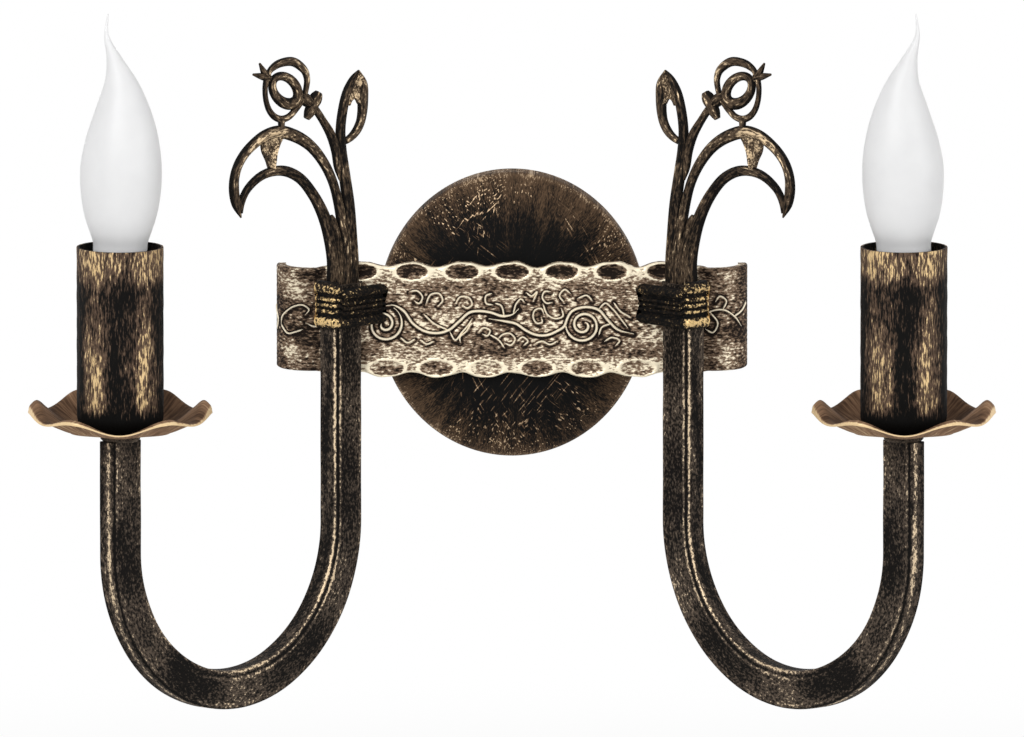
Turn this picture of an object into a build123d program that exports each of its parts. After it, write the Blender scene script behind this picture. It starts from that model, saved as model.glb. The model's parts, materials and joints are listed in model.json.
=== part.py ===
"""Double arm wall sconce in antiqued bronze: an oval canopy on the wall, a hammered strap
across it, two U-shaped arms of rectangular tube turned outwards, a cast sprig on each arm,
and a fluted drip pan, candle sleeve, lampholder and flame bulb on each outer leg.

Millimetres. X runs along the wall, -Y points away from it into the room, +Z is up.
The origin lies on the wall, at the centre of the wall bracket's back face."""
import os
from math import atan2, cos, degrees, pi, radians, sin, sqrt

from build123d import *

# ---- clearances -----------------------------------------------------------------------
weld_gap = 0.1          # between pieces that are welded or clamped together
thread_gap = 0.05       # radial, between a male and a female thread
slip_gap = 0.3          # radial, between a screw or pipe and its clearance hole

# ---- canopy and wall bracket ------------------------------------------------------------
canopy_half_width = 57.5
canopy_half_height = 61.6
canopy_depth = 24.7
canopy_skirt = 10.0     # straight part of the side, next to the wall
canopy_seat = 24.0      # radius of the flat on the front
canopy_wall = 1.2
bracket_height = 20.0
bracket_sheet = 2.0
bracket_flange = 11.0
wall_slot_spacing = 60.0
wall_slot_length = 12.0
wall_slot_width = 5.0
cable_hole_radius = 6.0
side_screw_radius = 2.0
side_screw_head_radius = 3.5
side_screw_head = 2.4
side_screw_length = 6.5
side_screw_level = 6.05  # of its axis, from the wall
grommet_lip = 1.6
grommet_play = 0.3      # between its lips and the sheet

# ---- strap ------------------------------------------------------------------------------
strap_half_length = 101.0
strap_height = 45.6     # between the hollows of the wavy edges
strap_thickness = 4.0
strap_bend_radius = 15.0
strap_end_depth = 19.0  # how far the ends reach back from the front face
edge_pitch = 21.5       # between two hammer marks on one edge
edge_wave = 2.1
mark_length = 13.0
mark_height = 6.5
mark_depth = 1.3
mark_inset = 3.9        # of a mark's centre, from the crest of the edge
stud_radius = 2.5
stud_length = 10.0
stud_offset = 16.0
nut_height = 4.0
nut_flats = 8.0
washer_thickness = 1.0
washer_radius = 5.0
lead_hole_radius = 2.5
bush_wall = 1.0
bush_lip = 1.2
bush_lip_width = 1.4

# ---- terminal block ---------------------------------------------------------------------
pole_pitch = 8.0
pole_count = 3
block_width = 14.0
block_depth = 11.0
block_offset = 15.5
barrel_radius = 2.6
barrel_bore = 1.6
terminal_screw_radius = 1.5
turret_gap = 1.4
turret_corner = 1.6
chimney_radius = 2.6    # of the wells that guide a screwdriver
well_gap = 0.2
earth_screw_radius = 2.0
earth_head_radius = 3.8
earth_head = 2.4
cup_washer_radius = 4.6
cup_washer = 1.0

# ---- arms -------------------------------------------------------------------------------
arm_angle = 45.0        # of each arm's plane to the wall
arm_section = 16.6      # tube size in the arm's plane
arm_thickness = 9.2     # tube size across it
arm_corner = 1.2
arm_wall = 1.3
arm_radius = 66.1       # centreline radius of the U
arm_inner_x = 73.4      # inner leg's centre, from the middle of the strap
arc_height = -84.9      # of the U's centre
inner_leg_top = 17.0
plug_length = 8.0
tang_radius = 2.0
tang_length = 6.5
lead_hole_height = 2.0

# ---- collar -----------------------------------------------------------------------------
collar_bottom = -1.3
collar_height = 20.5
collar_plate = 1.5
collar_roll = 2.7       # radius of the rolls at the top and bottom
collar_roll_depth = 2.3 # half thickness of a roll
collar_bead = 1.1
bead_offset = 2.6       # of each bead from the collar's middle

# ---- sprig ------------------------------------------------------------------------------
sprig_thickness = 4.4
bud_thickness = 3.0
heart_thickness = 3.0
calyx_thickness = 4.8
foot_overlap = 2.0      # cut off flat where the stems stand on the arm

# ---- candle -----------------------------------------------------------------------------
outer_leg_top = -36.7
seat_radius = 8.5
seat_thickness = 3.0
pan_sheet = 1.0
pan_radius = 39.3
pan_waves = 6
pan_flat_radius = 13.0
sleeve_radius = 18.6
sleeve_wall = 1.2
sleeve_height = 79.5
sleeve_corner = 7.3
nipple_radius = 5.0
nipple_bore = 3.5
nipple_length = 22.7
pan_nut_flats = 14.0
pan_nut_height = 4.0
holder_radius = 12.2
holder_ring_radius = 13.2
holder_neck_radius = 7.6
holder_bottom = 16.7    # above the pan seat's bottom
holder_height = 57.0
holder_neck_height = 8.0
holder_cone_top = 12.5
holder_ring_height = 5.0
holder_web = 4.0        # under the socket
holder_floor = 32.0     # of the socket, above the holder's bottom
shell_wall = 0.75
shell_lift = 4.0        # above the socket's floor
shell_inset = 2.0       # below the holder's mouth
holder_contact_base = 1.2
holder_contact_height = 3.9
cap_radius = 6.95
cap_height = 20.9
cap_gap = 0.4
contact_gap = 0.3
bulb_contact_radius = 2.4
bulb_contact_height = 2.4
glass_wall = 0.8
glass_height = 107.3
hollow_height = 89.0    # the tip above this is solid

# ---- derived places -----------------------------------------------------------------------
strap_front = canopy_depth + strap_thickness
arm_spacing = 2 * arm_radius
corner_reach = (arm_section + arm_thickness) / 2 * cos(radians(45))
arm_forward = strap_front + corner_reach + slip_gap
foot_level = inner_leg_top - foot_overlap
pan_bottom = outer_leg_top + seat_thickness
sleeve_bottom = pan_bottom + pan_sheet
holder_base = outer_leg_top + holder_bottom
socket_floor = holder_base + holder_floor
contact_top = socket_floor + holder_contact_height
bulb_bottom = contact_top + contact_gap
cap_bottom = bulb_bottom + bulb_contact_height
glass_bottom = cap_bottom + cap_height
shell_bore = cap_radius + cap_gap

# Pieces on the wall are drawn lying down, with their forward side up, and stood up by this.
stand_up = Rot(90, 0, 0)
# Pieces of the left arm are drawn with X along the arm's plane, away from the inner leg.
arm_frame = Pos(-arm_inner_x, -arm_forward, 0) * Rot(0, 0, 180 + arm_angle)
candle_axis = arm_frame * Pos(arm_spacing, 0, 0)


def ring(outer, inner, height):
    """A flat ring or a tube, standing on the XY plane."""
    return extrude(Circle(outer) - Circle(inner), height)


def hexagon_nut(flats, bore, height):
    return extrude(RegularPolygon(flats / sqrt(3), 6) - Circle(bore), height)


def pan_head_screw(shank, head, head_height, length):
    """Screw along Z with its head's seat at zero, head up, and a cross-slot's single groove."""
    body = Pos(0, 0, -length) * Cylinder(shank, length, align=(Align.CENTER, Align.CENTER, Align.MIN))
    top = Cylinder(head, head_height, align=(Align.CENTER, Align.CENTER, Align.MIN))
    top = fillet(top.edges().group_by(Axis.Z)[-1], head_height * 0.4)
    slot = Pos(0, 0, head_height) * Box(head * 1.5, head * 0.28, head_height * 0.9)
    return body + (top - slot)


# ---- wall side --------------------------------------------------------------------------
def dome(half_width, depth):
    """Solid of revolution: straight skirt, elliptical shoulder and a flat front."""
    run = half_width - canopy_seat
    rise = depth - canopy_skirt
    side = Line((0, 0), (half_width, 0)) + Line((half_width, 0), (half_width, canopy_skirt))
    shoulder = EllipticalCenterArc((canopy_seat, canopy_skirt), run, rise, 0, arc_size=90)
    front = Line((canopy_seat, depth), (0, depth)) + Line((0, depth), (0, 0))
    profile = Plane.XZ * make_face(side + shoulder + front)
    return revolve(profile, Axis.Z)


def shoulder_entry():
    """Place of a lead entry on the right shoulder, with Z along the outward normal."""
    run = canopy_half_width - canopy_seat
    rise = canopy_depth - canopy_skirt
    x = canopy_seat + run * cos(radians(45))
    z = canopy_skirt + rise * sin(radians(45))
    tilt = degrees(atan2(rise, run))
    return Pos(x, 0, z) * Rot(0, tilt, 0)


def canopy():
    outer = dome(canopy_half_width, canopy_depth)
    inner = dome(canopy_half_width - canopy_wall, canopy_depth - canopy_wall)
    oval = canopy_half_height / canopy_half_width
    shell = scale(outer - inner, by=(1, oval, 1))
    through = 4 * canopy_depth
    for side in (-1, 1):
        stud_hole = Pos(side * stud_offset, 0, 0) * Cylinder(stud_radius + slip_gap, through)
        screw_hole = Pos(side * canopy_half_width, 0, side_screw_level) * Rot(0, 90, 0)
        screw_hole *= Cylinder(side_screw_radius + slip_gap, canopy_wall * 8)
        shell = shell - stud_hole - screw_hole
    entry = shoulder_entry() * Cylinder(lead_hole_radius + bush_wall + weld_gap, canopy_wall * 6)
    shell = shell - entry - mirror(entry, Plane.YZ)
    return stand_up * shell


def lead_grommets():
    """Rubber grommets in the canopy's shoulders, where the arms' leads go in."""
    barrel = lead_hole_radius + bush_wall
    lip = barrel + grommet_lip
    height = canopy_wall + 2 * weld_gap + 2 * grommet_play
    lips = ring(lip, lead_hole_radius, bush_lip)
    piece = Pos(0, 0, -height) * ring(barrel, lead_hole_radius, height)
    piece = piece + lips + Pos(0, 0, -height - bush_lip) * lips
    right = shoulder_entry() * Pos(0, 0, grommet_play) * piece
    return [stand_up * right, stand_up * mirror(right, Plane.YZ)]


def bracket_half_length():
    """Half length of the wall bracket, as far as the canopy's oval leaves room for it."""
    half_width = canopy_half_width - canopy_wall
    half_height = canopy_half_height - canopy_wall * canopy_half_height / canopy_half_width
    return half_width * sqrt(1 - (bracket_height / 2 / half_height) ** 2) - slip_gap


def wall_bracket():
    half = bracket_half_length()
    low = (Align.CENTER, Align.CENTER, Align.MIN)
    plate = Box(2 * half, bracket_height, bracket_sheet, align=low)
    for side in (-1, 1):
        flange = Pos(side * (half - bracket_sheet / 2), 0, 0)
        flange *= Box(bracket_sheet, bracket_height, bracket_flange, align=low)
        plate = plate + flange
    bends = [e for e in plate.edges().filter_by(Axis.Y) if abs(e.center().Z) < 0.01]
    plate = fillet(bends, bracket_sheet * 0.6)
    tips = plate.edges().filter_by(Axis.X).group_by(Axis.Z)[-1]
    plate = fillet(tips, bracket_height / 5)
    slot = extrude(SlotOverall(wall_slot_length, wall_slot_width), bracket_sheet * 2, both=True)
    for side in (-1, 1):
        plate = plate - Pos(side * wall_slot_spacing / 2, 0, 0) * slot
        thread = Pos(side * half, 0, side_screw_level) * Rot(0, 90, 0)
        plate = plate - thread * Cylinder(side_screw_radius + thread_gap, bracket_sheet * 4)
    plate = plate - Cylinder(cable_hole_radius, bracket_sheet * 4)
    earth = Pos(-block_offset, 0, 0) * Cylinder(earth_screw_radius + thread_gap, bracket_sheet * 4)
    return stand_up * (plate - earth)


def side_screws():
    screw = pan_head_screw(side_screw_radius, side_screw_head_radius, side_screw_head,
                           side_screw_length)
    right = Pos(canopy_half_width + weld_gap, 0, side_screw_level) * Rot(0, 90, 0) * screw
    return [stand_up * right, stand_up * mirror(right, Plane.YZ)]


def earth_screw():
    """Screw with a cup washer, for the supply's earth lead."""
    screw = pan_head_screw(earth_screw_radius, earth_head_radius, earth_head, bracket_sheet)
    washer = Pos(0, 0, -cup_washer) * ring(cup_washer_radius, earth_screw_radius, cup_washer)
    return stand_up * Pos(-block_offset, 0, bracket_sheet + cup_washer) * (screw + washer)


def pole_places():
    start = -(pole_count - 1) / 2 * pole_pitch
    return [Pos(block_offset, start + i * pole_pitch, bracket_sheet) for i in range(pole_count)]


def terminal_block():
    """Moulded block: one rounded turret for each pole, on a common web."""
    low = (Align.CENTER, Align.CENTER, Align.MIN)
    block = Box(block_width * 0.8, pole_pitch * pole_count - 2, block_depth * 0.45, align=low)
    block = Pos(block_offset, 0, bracket_sheet) * block
    barrel_height = block_depth * 0.42
    for place in pole_places():
        turret = Box(block_width, pole_pitch - turret_gap, block_depth * 0.75, align=low)
        turret = fillet(turret.edges().filter_by(Axis.X).group_by(Axis.Z)[-1], turret_corner)
        block = block + place * turret
        for side in (-1, 1):
            chimney = place * Pos(side * block_width / 4, 0, 0)
            block = block + chimney * Cylinder(chimney_radius, block_depth, align=low)
    for place in pole_places():
        bore = place * Pos(0, 0, barrel_height) * Rot(0, 90, 0)
        block = block - bore * Cylinder(barrel_radius + thread_gap, block_width * 2)
        for side in (-1, 1):
            well = place * Pos(side * block_width / 4, 0, barrel_height)
            block = block - well * Cylinder(terminal_screw_radius + well_gap, block_depth, align=low)
    return stand_up * block


def terminal_barrels():
    pieces = []
    for place in pole_places():
        tube = Cylinder(barrel_radius, block_width - 2) - Cylinder(barrel_bore, block_width)
        tube = place * Pos(0, 0, block_depth * 0.42) * Rot(0, 90, 0) * tube
        for side in (-1, 1):
            thread = place * Pos(side * block_width / 4, 0, block_depth * 0.42)
            thread *= Cylinder(terminal_screw_radius + thread_gap, block_depth,
                               align=(Align.CENTER, Align.CENTER, Align.MIN))
            tube = tube - thread
        pieces.append(stand_up * tube)
    return pieces


def terminal_screws():
    pieces = []
    low = (Align.CENTER, Align.CENTER, Align.MIN)
    length = block_depth * 0.5
    for place in pole_places():
        for side in (-1, 1):
            screw = Cylinder(terminal_screw_radius, length, align=low)
            slot = Pos(0, 0, length) * Box(terminal_screw_radius * 3, 0.6, 1.6)
            seat = place * Pos(side * block_width / 4, 0, block_depth * 0.42 + barrel_bore * 0.4)
            pieces.append(stand_up * seat * (screw - slot))
    return pieces


# ---- strap ------------------------------------------------------------------------------
def strap_length():
    """Length of the front face, from the middle to one end, along the bend."""
    straight = strap_half_length - strap_bend_radius
    return straight + pi / 2 * strap_bend_radius + strap_end_depth - strap_bend_radius


def strap_station(run):
    """Place on the strap's front face at a distance along it from the middle, Z outwards."""
    side = -1 if run < 0 else 1
    along = abs(run)
    straight = strap_half_length - strap_bend_radius
    turn = min(max(along - straight, 0) / strap_bend_radius, pi / 2)
    past = max(along - straight - pi / 2 * strap_bend_radius, 0)
    x = min(along, straight) + strap_bend_radius * sin(turn)
    z = strap_front - strap_bend_radius * (1 - cos(turn)) - past
    return Pos(side * x, 0, z) * Rot(0, side * degrees(turn), 0)


def strap_blank():
    """The flat bar with both ends bent back, drawn from above and extruded upwards."""
    inner = strap_bend_radius - strap_thickness
    end = strap_front - strap_end_depth
    straight = strap_half_length - strap_bend_radius
    centre = (straight, strap_front - strap_bend_radius)
    line = Line((0, strap_front), (straight, strap_front))
    line += CenterArc(centre, strap_bend_radius, 0, 90)
    line += Line((strap_half_length, centre[1]), (strap_half_length, end))
    line += Line((strap_half_length, end), (strap_half_length - strap_thickness, end))
    line += Line((strap_half_length - strap_thickness, end), (straight + inner, centre[1]))
    line += CenterArc(centre, inner, 0, 90)
    line += Line((straight, canopy_depth), (0, canopy_depth))
    line += Line((0, canopy_depth), (0, strap_front))
    outline = Plane.XZ * make_face(line)
    half = extrude(outline, strap_height / 2 + edge_wave, both=True)
    return half + mirror(half, Plane.YZ)


def strap_tools():
    """Hammer marks and the hollows between them, staggered on the two edges."""
    edge = strap_height / 2 + edge_wave - mark_inset
    ball = (mark_length ** 2 / 4 + mark_depth ** 2) / (2 * mark_depth)
    hollow_chord = edge_pitch * 0.6
    hollow = (hollow_chord ** 2 / 4 + edge_wave ** 2) / (2 * edge_wave)
    squeeze = mark_height / (mark_length / 2)
    tools = []
    for side, shift in ((1, 0.0), (-1, 0.5)):
        count = int(strap_length() / edge_pitch) + 1
        for i in range(-count, count + 1):
            run = (i + shift) * edge_pitch
            if abs(run) > strap_length() - edge_pitch / 4:
                continue
            mark = scale(Sphere(ball), by=(1, squeeze, 1))
            tools.append(strap_station(run) * Pos(0, side * edge, ball - mark_depth) * mark)
        for i in range(-count - 1, count + 1):
            run = (i + 0.5 + shift) * edge_pitch
            if abs(run) > strap_length() + edge_pitch / 4:
                continue
            top = strap_height / 2 + hollow
            gouge = Cylinder(hollow, strap_thickness * 2.4)
            tools.append(strap_station(run) * Pos(0, side * top, 0) * gouge)
    return tools


def strap():
    bar = strap_blank() - strap_tools()
    for side in (-1, 1):
        hole = Pos(side * arm_inner_x, lead_hole_height, strap_front)
        bar = bar - hole * Cylinder(lead_hole_radius + bush_wall + weld_gap, strap_thickness * 3)
    return stand_up * bar


def strap_studs():
    """Studs welded on the back of the strap, which hold it to the canopy."""
    low = (Align.CENTER, Align.CENTER, Align.MAX)
    places = [Pos(side * stud_offset, 0, canopy_depth) for side in (-1, 1)]
    return [stand_up * place * Cylinder(stud_radius, stud_length, align=low) for place in places]


def strap_washers():
    seat = canopy_depth - canopy_wall - washer_thickness
    piece = ring(washer_radius, stud_radius + slip_gap, washer_thickness)
    return [stand_up * Pos(side * stud_offset, 0, seat) * piece for side in (-1, 1)]


def strap_nuts():
    seat = canopy_depth - canopy_wall - washer_thickness - nut_height
    piece = hexagon_nut(nut_flats, stud_radius + thread_gap, nut_height)
    return [stand_up * Pos(side * stud_offset, 0, seat) * piece for side in (-1, 1)]


def strap_bushes():
    """Insulating bushes in the strap, behind the arms' lead holes."""
    piece = ring(lead_hole_radius + bush_wall, lead_hole_radius, strap_thickness)
    lip = ring(lead_hole_radius + bush_wall + bush_lip_width, lead_hole_radius, bush_lip)
    piece = piece + Pos(0, 0, -bush_lip) * lip
    places = [Pos(side * arm_inner_x, lead_hole_height, canopy_depth) for side in (-1, 1)]
    return [stand_up * place * piece for place in places]


# ---- arm --------------------------------------------------------------------------------
def arm_sweep(shrink):
    """The U of the arm with its section made smaller all round by a wall."""
    section = arm_section - 2 * shrink
    across = arm_thickness - 2 * shrink
    corner = max(arm_corner - shrink, 0.2)
    face = RectangleRounded(section, across, corner)
    inner_leg = Pos(0, 0, arc_height) * extrude(face, inner_leg_top - arc_height)
    outer_leg = Pos(arm_spacing, 0, arc_height) * extrude(face, outer_leg_top - arc_height)
    bend = revolve(face, Axis((arm_radius, 0, 0), (0, 1, 0)), -180)
    return inner_leg + outer_leg + Pos(0, 0, arc_height) * bend


def lead_hole():
    """Hole through the tube's rear corner, in line with the bush in the strap."""
    drill = Rot(90, 0, 0) * Cylinder(lead_hole_radius, corner_reach * 3,
                                     align=(Align.CENTER, Align.CENTER, Align.MAX))
    return Pos(-arm_inner_x, -arm_forward, lead_hole_height) * drill


def arm():
    return arm_frame * (arm_sweep(0) - arm_sweep(arm_wall)) - lead_hole()


def arm_saddle():
    """V-block welded on the strap, in which the arm's rear corner lies, cut off at the collar."""
    height = inner_leg_top - collar_bottom - 1
    block = Box(2 * corner_reach, corner_reach * 0.75, height,
                align=(Align.CENTER, Align.MAX, Align.MIN))
    block = Pos(-arm_inner_x, -strap_front, collar_bottom + 1) * block
    tube = RectangleRounded(arm_section + 2 * weld_gap, arm_thickness + 2 * weld_gap, arm_corner)
    tube = arm_frame * Pos(0, 0, collar_bottom) * extrude(tube, collar_height)
    casting = arm_frame * Pos(0, arm_thickness / 2, 0)
    casting *= Box(4 * arm_section, 2 * arm_section, 4 * height,
                   align=(Align.CENTER, Align.MIN, Align.CENTER))
    return block - tube - casting - lead_hole()


def arm_plug():
    """Solid plug in the open top of the inner leg, drilled for the sprig's tang."""
    inset = 2 * (arm_wall + weld_gap)
    face = RectangleRounded(arm_section - inset, arm_thickness - inset, 0.3)
    body = Pos(0, 0, inner_leg_top - plug_length) * extrude(face, plug_length)
    bore = Pos(0, 0, inner_leg_top) * Cylinder(tang_radius + thread_gap, 4 * plug_length)
    return arm_frame * (body - bore)


def collar_profile():
    """Section of the cast collar: a plate with a roll at each end and two beads between."""
    face = Pos(collar_plate / 2, collar_height / 2) * Rectangle(collar_plate, collar_height)
    for height in (collar_roll, collar_height - collar_roll):
        face = face + Pos(collar_plate * 0.6, height) * Ellipse(collar_roll_depth, collar_roll)
    middle = collar_height / 2
    for height in (middle - bead_offset, middle + bead_offset):
        face = face + Pos(collar_plate, height) * Circle(collar_bead)
    keep = Pos(0, -1) * Rectangle(2 * collar_roll, collar_height + 2, align=(Align.MIN, Align.MIN))
    return face & keep


def collar():
    """Angle-shaped casting: over the tube's front and inner faces, and on to the strap."""
    front = arm_section / 2 + weld_gap
    side = arm_thickness / 2 + weld_gap
    reach = 2 * arm_section
    profile = collar_profile()
    over_front = Plane((front, 0, collar_bottom), x_dir=(1, 0, 0), z_dir=(0, -1, 0)) * profile
    over_front = Pos(0, reach, 0) * extrude(over_front, reach + arm_thickness / 2)
    over_side = Plane((0, side, collar_bottom), x_dir=(0, 1, 0), z_dir=(1, 0, 0)) * profile
    over_side = Pos(-reach, 0, 0) * extrude(over_side, reach + 2 * arm_section)
    mitre = Pos(front, side, 0) * Rot(0, 0, 45)
    room = 6 * arm_section
    box = Box(room, room, room, align=(Align.MIN, Align.CENTER, Align.CENTER))
    above = mitre * Rot(0, 0, 90) * box
    below = mitre * Rot(0, 0, -90) * box
    piece = arm_frame * ((over_front & below) + (over_side & above))
    wall_side = Pos(-arm_inner_x, -strap_front - weld_gap, 0)
    return piece - wall_side * Box(room, room, room, align=(Align.CENTER, Align.MIN, Align.CENTER))


# ---- sprig ------------------------------------------------------------------------------
def tapered_rod(points, widths, thickness=sprig_thickness):
    """Cast stem: ellipses carried along a curve in the arm's plane, each with its width."""
    path = Spline(*[Vector(s, 0, z) for s, z in points])
    sections = []
    for (s, z), width in zip(points, widths):
        at = path.param_at_point(Vector(s, 0, z))
        plane = Plane(path.position_at(at), x_dir=(0, 1, 0), z_dir=path.tangent_at(at))
        depth = max(min(thickness, width), 0.8)
        sections.append(plane * Ellipse(depth / 2, width / 2))
    return loft(sections)


def web(points, thickness):
    """Thin cast web between stems, with a smooth outline."""
    outline = Spline(*[Vector(s, 0, z) for s, z in points], periodic=True)
    return extrude(make_face(outline), thickness / 2, dir=(0, 1, 0), both=True)


def standing(rod):
    """A stem cut off flat at the top of the arm, where it stands."""
    below = Box(4 * arm_section, arm_section, 10 * foot_overlap,
                align=(Align.CENTER, Align.CENTER, Align.MAX))
    return rod - Pos(0, 0, inner_leg_top) * below


def bud():
    """Open bud: two arcs round a tilted ring, the two prongs of its crown, and its calyx."""
    calyx = Plane.XZ * (Pos(17.1, 95.8) * Rot(0, 0, -57) * SlotOverall(10.6, 4.4))
    bud_base = Pos(22.2, 0, 99.8) * Sphere(2.5)
    heart = Pos(33.4, 104.3) * Rot(0, 0, 32) * (Ellipse(10.9, 7.1) - Ellipse(7.9, 4.0))
    heart = extrude(Plane.XZ * heart, heart_thickness / 2, both=True)
    upper = tapered_rod(
        [(44.2, 109.6), (43.0, 113.0), (39.2, 115.6), (34.0, 116.7), (28.7, 116.3), (24.3, 114.1),
         (21.0, 110.9), (19.9, 107.4), (20.6, 104.0), (22.2, 99.8)],
        [2.6, 2.4, 2.8, 3.2, 3.4, 3.4, 3.0, 2.6, 2.6, 2.6], bud_thickness)
    lower = tapered_rod(
        [(44.4, 111.6), (45.5, 106.0), (44.9, 100.7), (43.0, 96.5), (39.6, 93.2), (35.4, 91.7),
         (31.4, 92.3), (27.5, 94.8), (22.2, 99.8)],
        [2.8, 2.2, 2.2, 2.4, 2.6, 2.8, 2.6, 2.6, 2.6], bud_thickness)
    long_prong = tapered_rod([(43.4, 110.6), (47.7, 111.6), (52.6, 112.9)], [3.6, 2.6, 1.4])
    short_prong = tapered_rod([(43.4, 110.2), (46.3, 113.6), (48.7, 117.3)], [3.4, 2.6, 1.4])
    link = Pos(35.6, 0, 86.2) * extrude(Ellipse(1.5, 1.3), 6.4)
    calyx = extrude(calyx, calyx_thickness / 2, both=True)
    return [calyx, bud_base, heart, upper, lower, long_prong, short_prong, link]


def leaf():
    """Pointed leaf at the top: the stem and a second edge, with a web that leaves a slot."""
    edge = tapered_rod(
        [(-10.9, 108.4), (-14.4, 101.4), (-15.0, 94.4), (-13.9, 88.7), (-10.1, 82.7), (-3.7, 77.6)],
        [0.8, 3.6, 3.4, 2.6, 2.2, 2.0])
    filling = web(
        [(-10.9, 107.2), (-6.9, 103.4), (-4.4, 98.8), (-4.1, 94.9), (-8.3, 96.4), (-11.6, 93.0),
         (-15.0, 94.4), (-15.2, 99.0), (-13.8, 103.2)], sprig_thickness * 0.4)
    return [edge, filling]


def crescent():
    """Crescent leaf: an upper and a lower stem that meet in its tip, and a tongue between."""
    upper = tapered_rod(
        [(-2.3, foot_level), (-2.8, 25.6), (-2.9, 36.6), (-0.4, 45.5), (1.6, 53.3), (4.0, 59.9),
         (10.1, 70.4), (19.4, 79.5), (28.3, 83.9), (37.2, 86.6), (46.1, 85.2), (54.2, 80.5),
         (61.5, 74.1), (63.7, 66.8), (63.1, 60.4), (59.9, 51.9)],
        [5.6, 5.2, 5.0, 4.8, 4.4, 4.2, 4.6, 5.2, 5.6, 5.6, 5.4, 4.4, 4.2, 4.6, 4.8, 0.8])
    lower = tapered_rod(
        [(3.6, foot_level), (2.9, 27.9), (5.6, 37.5), (10.1, 47.8), (17.0, 57.8), (25.1, 65.6),
         (34.0, 69.4), (42.1, 69.6), (50.2, 66.2), (56.2, 61.1), (59.3, 54.5)],
        [6.6, 6.4, 6.0, 5.6, 5.0, 4.6, 4.2, 4.0, 3.6, 3.2, 2.0])
    tongue = web(
        [(46.4, 83.6), (43.4, 86.0), (39.0, 86.8), (33.6, 85.2), (36.4, 81.0), (38.4, 77.6),
         (39.6, 73.4), (41.4, 70.2), (43.6, 75.4), (46.4, 79.6)], sprig_thickness * 0.55)
    return [standing(upper), standing(lower), tongue]


def sprig():
    """Leaf, bud and crescent leaf on bundled stems, cast in one piece with a tang."""
    main = tapered_rod(
        [(-6.9, foot_level), (-7.1, 23.5), (-6.1, 36.4), (-4.7, 50.9), (-2.0, 65.6), (-0.3, 75.1),
         (0.1, 83.2), (-1.2, 91.8), (-4.1, 100.1), (-8.1, 105.8), (-10.9, 108.4)],
        [7.0, 7.0, 7.0, 6.6, 5.6, 5.0, 4.6, 4.4, 4.0, 2.6, 0.8])
    bud_stem = tapered_rod(
        [(-0.4, 71.6), (2.6, 80.0), (8.1, 87.2), (15.8, 95.0), (19.4, 98.0)],
        [4.0, 3.6, 3.4, 3.2, 3.0])
    casting = standing(main)
    for piece in crescent() + leaf() + [bud_stem] + bud():
        casting = casting + piece
    tang = Pos(0, 0, inner_leg_top) * Cylinder(tang_radius, tang_length,
                                               align=(Align.CENTER, Align.CENTER, Align.MAX))
    return arm_frame * (casting + tang)


# ---- candle -----------------------------------------------------------------------------
def pan_seat():
    disc = ring(seat_radius, nipple_radius + thread_gap, seat_thickness)
    disc = chamfer(disc.edges().group_by(Axis.Z)[0].sort_by(Edge.length)[-1], seat_thickness / 3)
    return candle_axis * Pos(0, 0, outer_leg_top) * disc


def lamp_nipple():
    return candle_axis * Pos(0, 0, outer_leg_top) * ring(nipple_radius, nipple_bore, nipple_length)


def pan_section(angle):
    """Radial section of the fluted sheet at an angle, a crest lying at zero."""
    swing = cos(pan_waves * radians(angle))
    reach = pan_radius - pan_flat_radius
    stations = ((0.0, 0.0, 0.0), (0.18, 0.5, 0.3), (0.45, 3.2, 1.6), (0.72, 7.2, 3.4),
                (0.88, 9.2, 4.3), (0.96, 8.4, 3.7), (1.0, 6.7, 3.0))
    top = [(pan_flat_radius + part * reach, pan_sheet + mean + sway * swing)
           for part, mean, sway in stations]
    start = nipple_radius * 0.8
    upper = Line((start, pan_sheet), top[0]) + Spline(*top, tangents=((1, 0), (0.75, -0.9)))
    under = [(x, z - pan_sheet) for x, z in top]
    lower = Line((start, 0), under[0]) + Spline(*under, tangents=((1, 0), (0.75, -0.9)))
    ends = Line((start, 0), (start, pan_sheet)) + Line(under[-1], top[-1])
    plane = Plane((0, 0, 0), x_dir=(cos(radians(angle)), sin(radians(angle)), 0),
                  z_dir=(sin(radians(angle)), -cos(radians(angle)), 0))
    return plane * make_face(upper + ends + lower)


def drip_pan():
    """Fluted dish of thin sheet, made from one wave repeated round the hole."""
    wave = 360 / pan_waves
    parts = 6
    sector = loft([pan_section(i * wave / parts) for i in range(parts + 1)], ruled=True)
    dish = sector
    for i in range(1, pan_waves):
        dish = dish + Rot(0, 0, i * wave) * sector
    dish = dish - Cylinder(nipple_radius + slip_gap, 4 * pan_sheet)
    return Pos(candle_axis.position) * Pos(0, 0, pan_bottom) * dish


def candle_sleeve():
    """Drawn tube with a rounded bottom, open at the top."""
    def cup(radius, bottom, corner):
        profile = Line((0, bottom), (radius - corner, bottom))
        profile += CenterArc((radius - corner, bottom + corner), corner, -90, 90)
        profile += Line((radius, bottom + corner), (radius, sleeve_height))
        profile += Line((radius, sleeve_height), (0, sleeve_height))
        profile += Line((0, sleeve_height), (0, bottom))
        return revolve(Plane.XZ * make_face(profile), Axis.Z)
    body = cup(sleeve_radius, 0, sleeve_corner)
    body = body - cup(sleeve_radius - sleeve_wall, sleeve_wall, sleeve_corner - sleeve_wall)
    body = body - Cylinder(nipple_radius + slip_gap, 6 * sleeve_wall)
    return candle_axis * Pos(0, 0, sleeve_bottom) * body


def pan_nut():
    nut = hexagon_nut(pan_nut_flats, nipple_radius + thread_gap, pan_nut_height)
    return candle_axis * Pos(0, 0, sleeve_bottom + sleeve_wall) * nut


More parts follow.
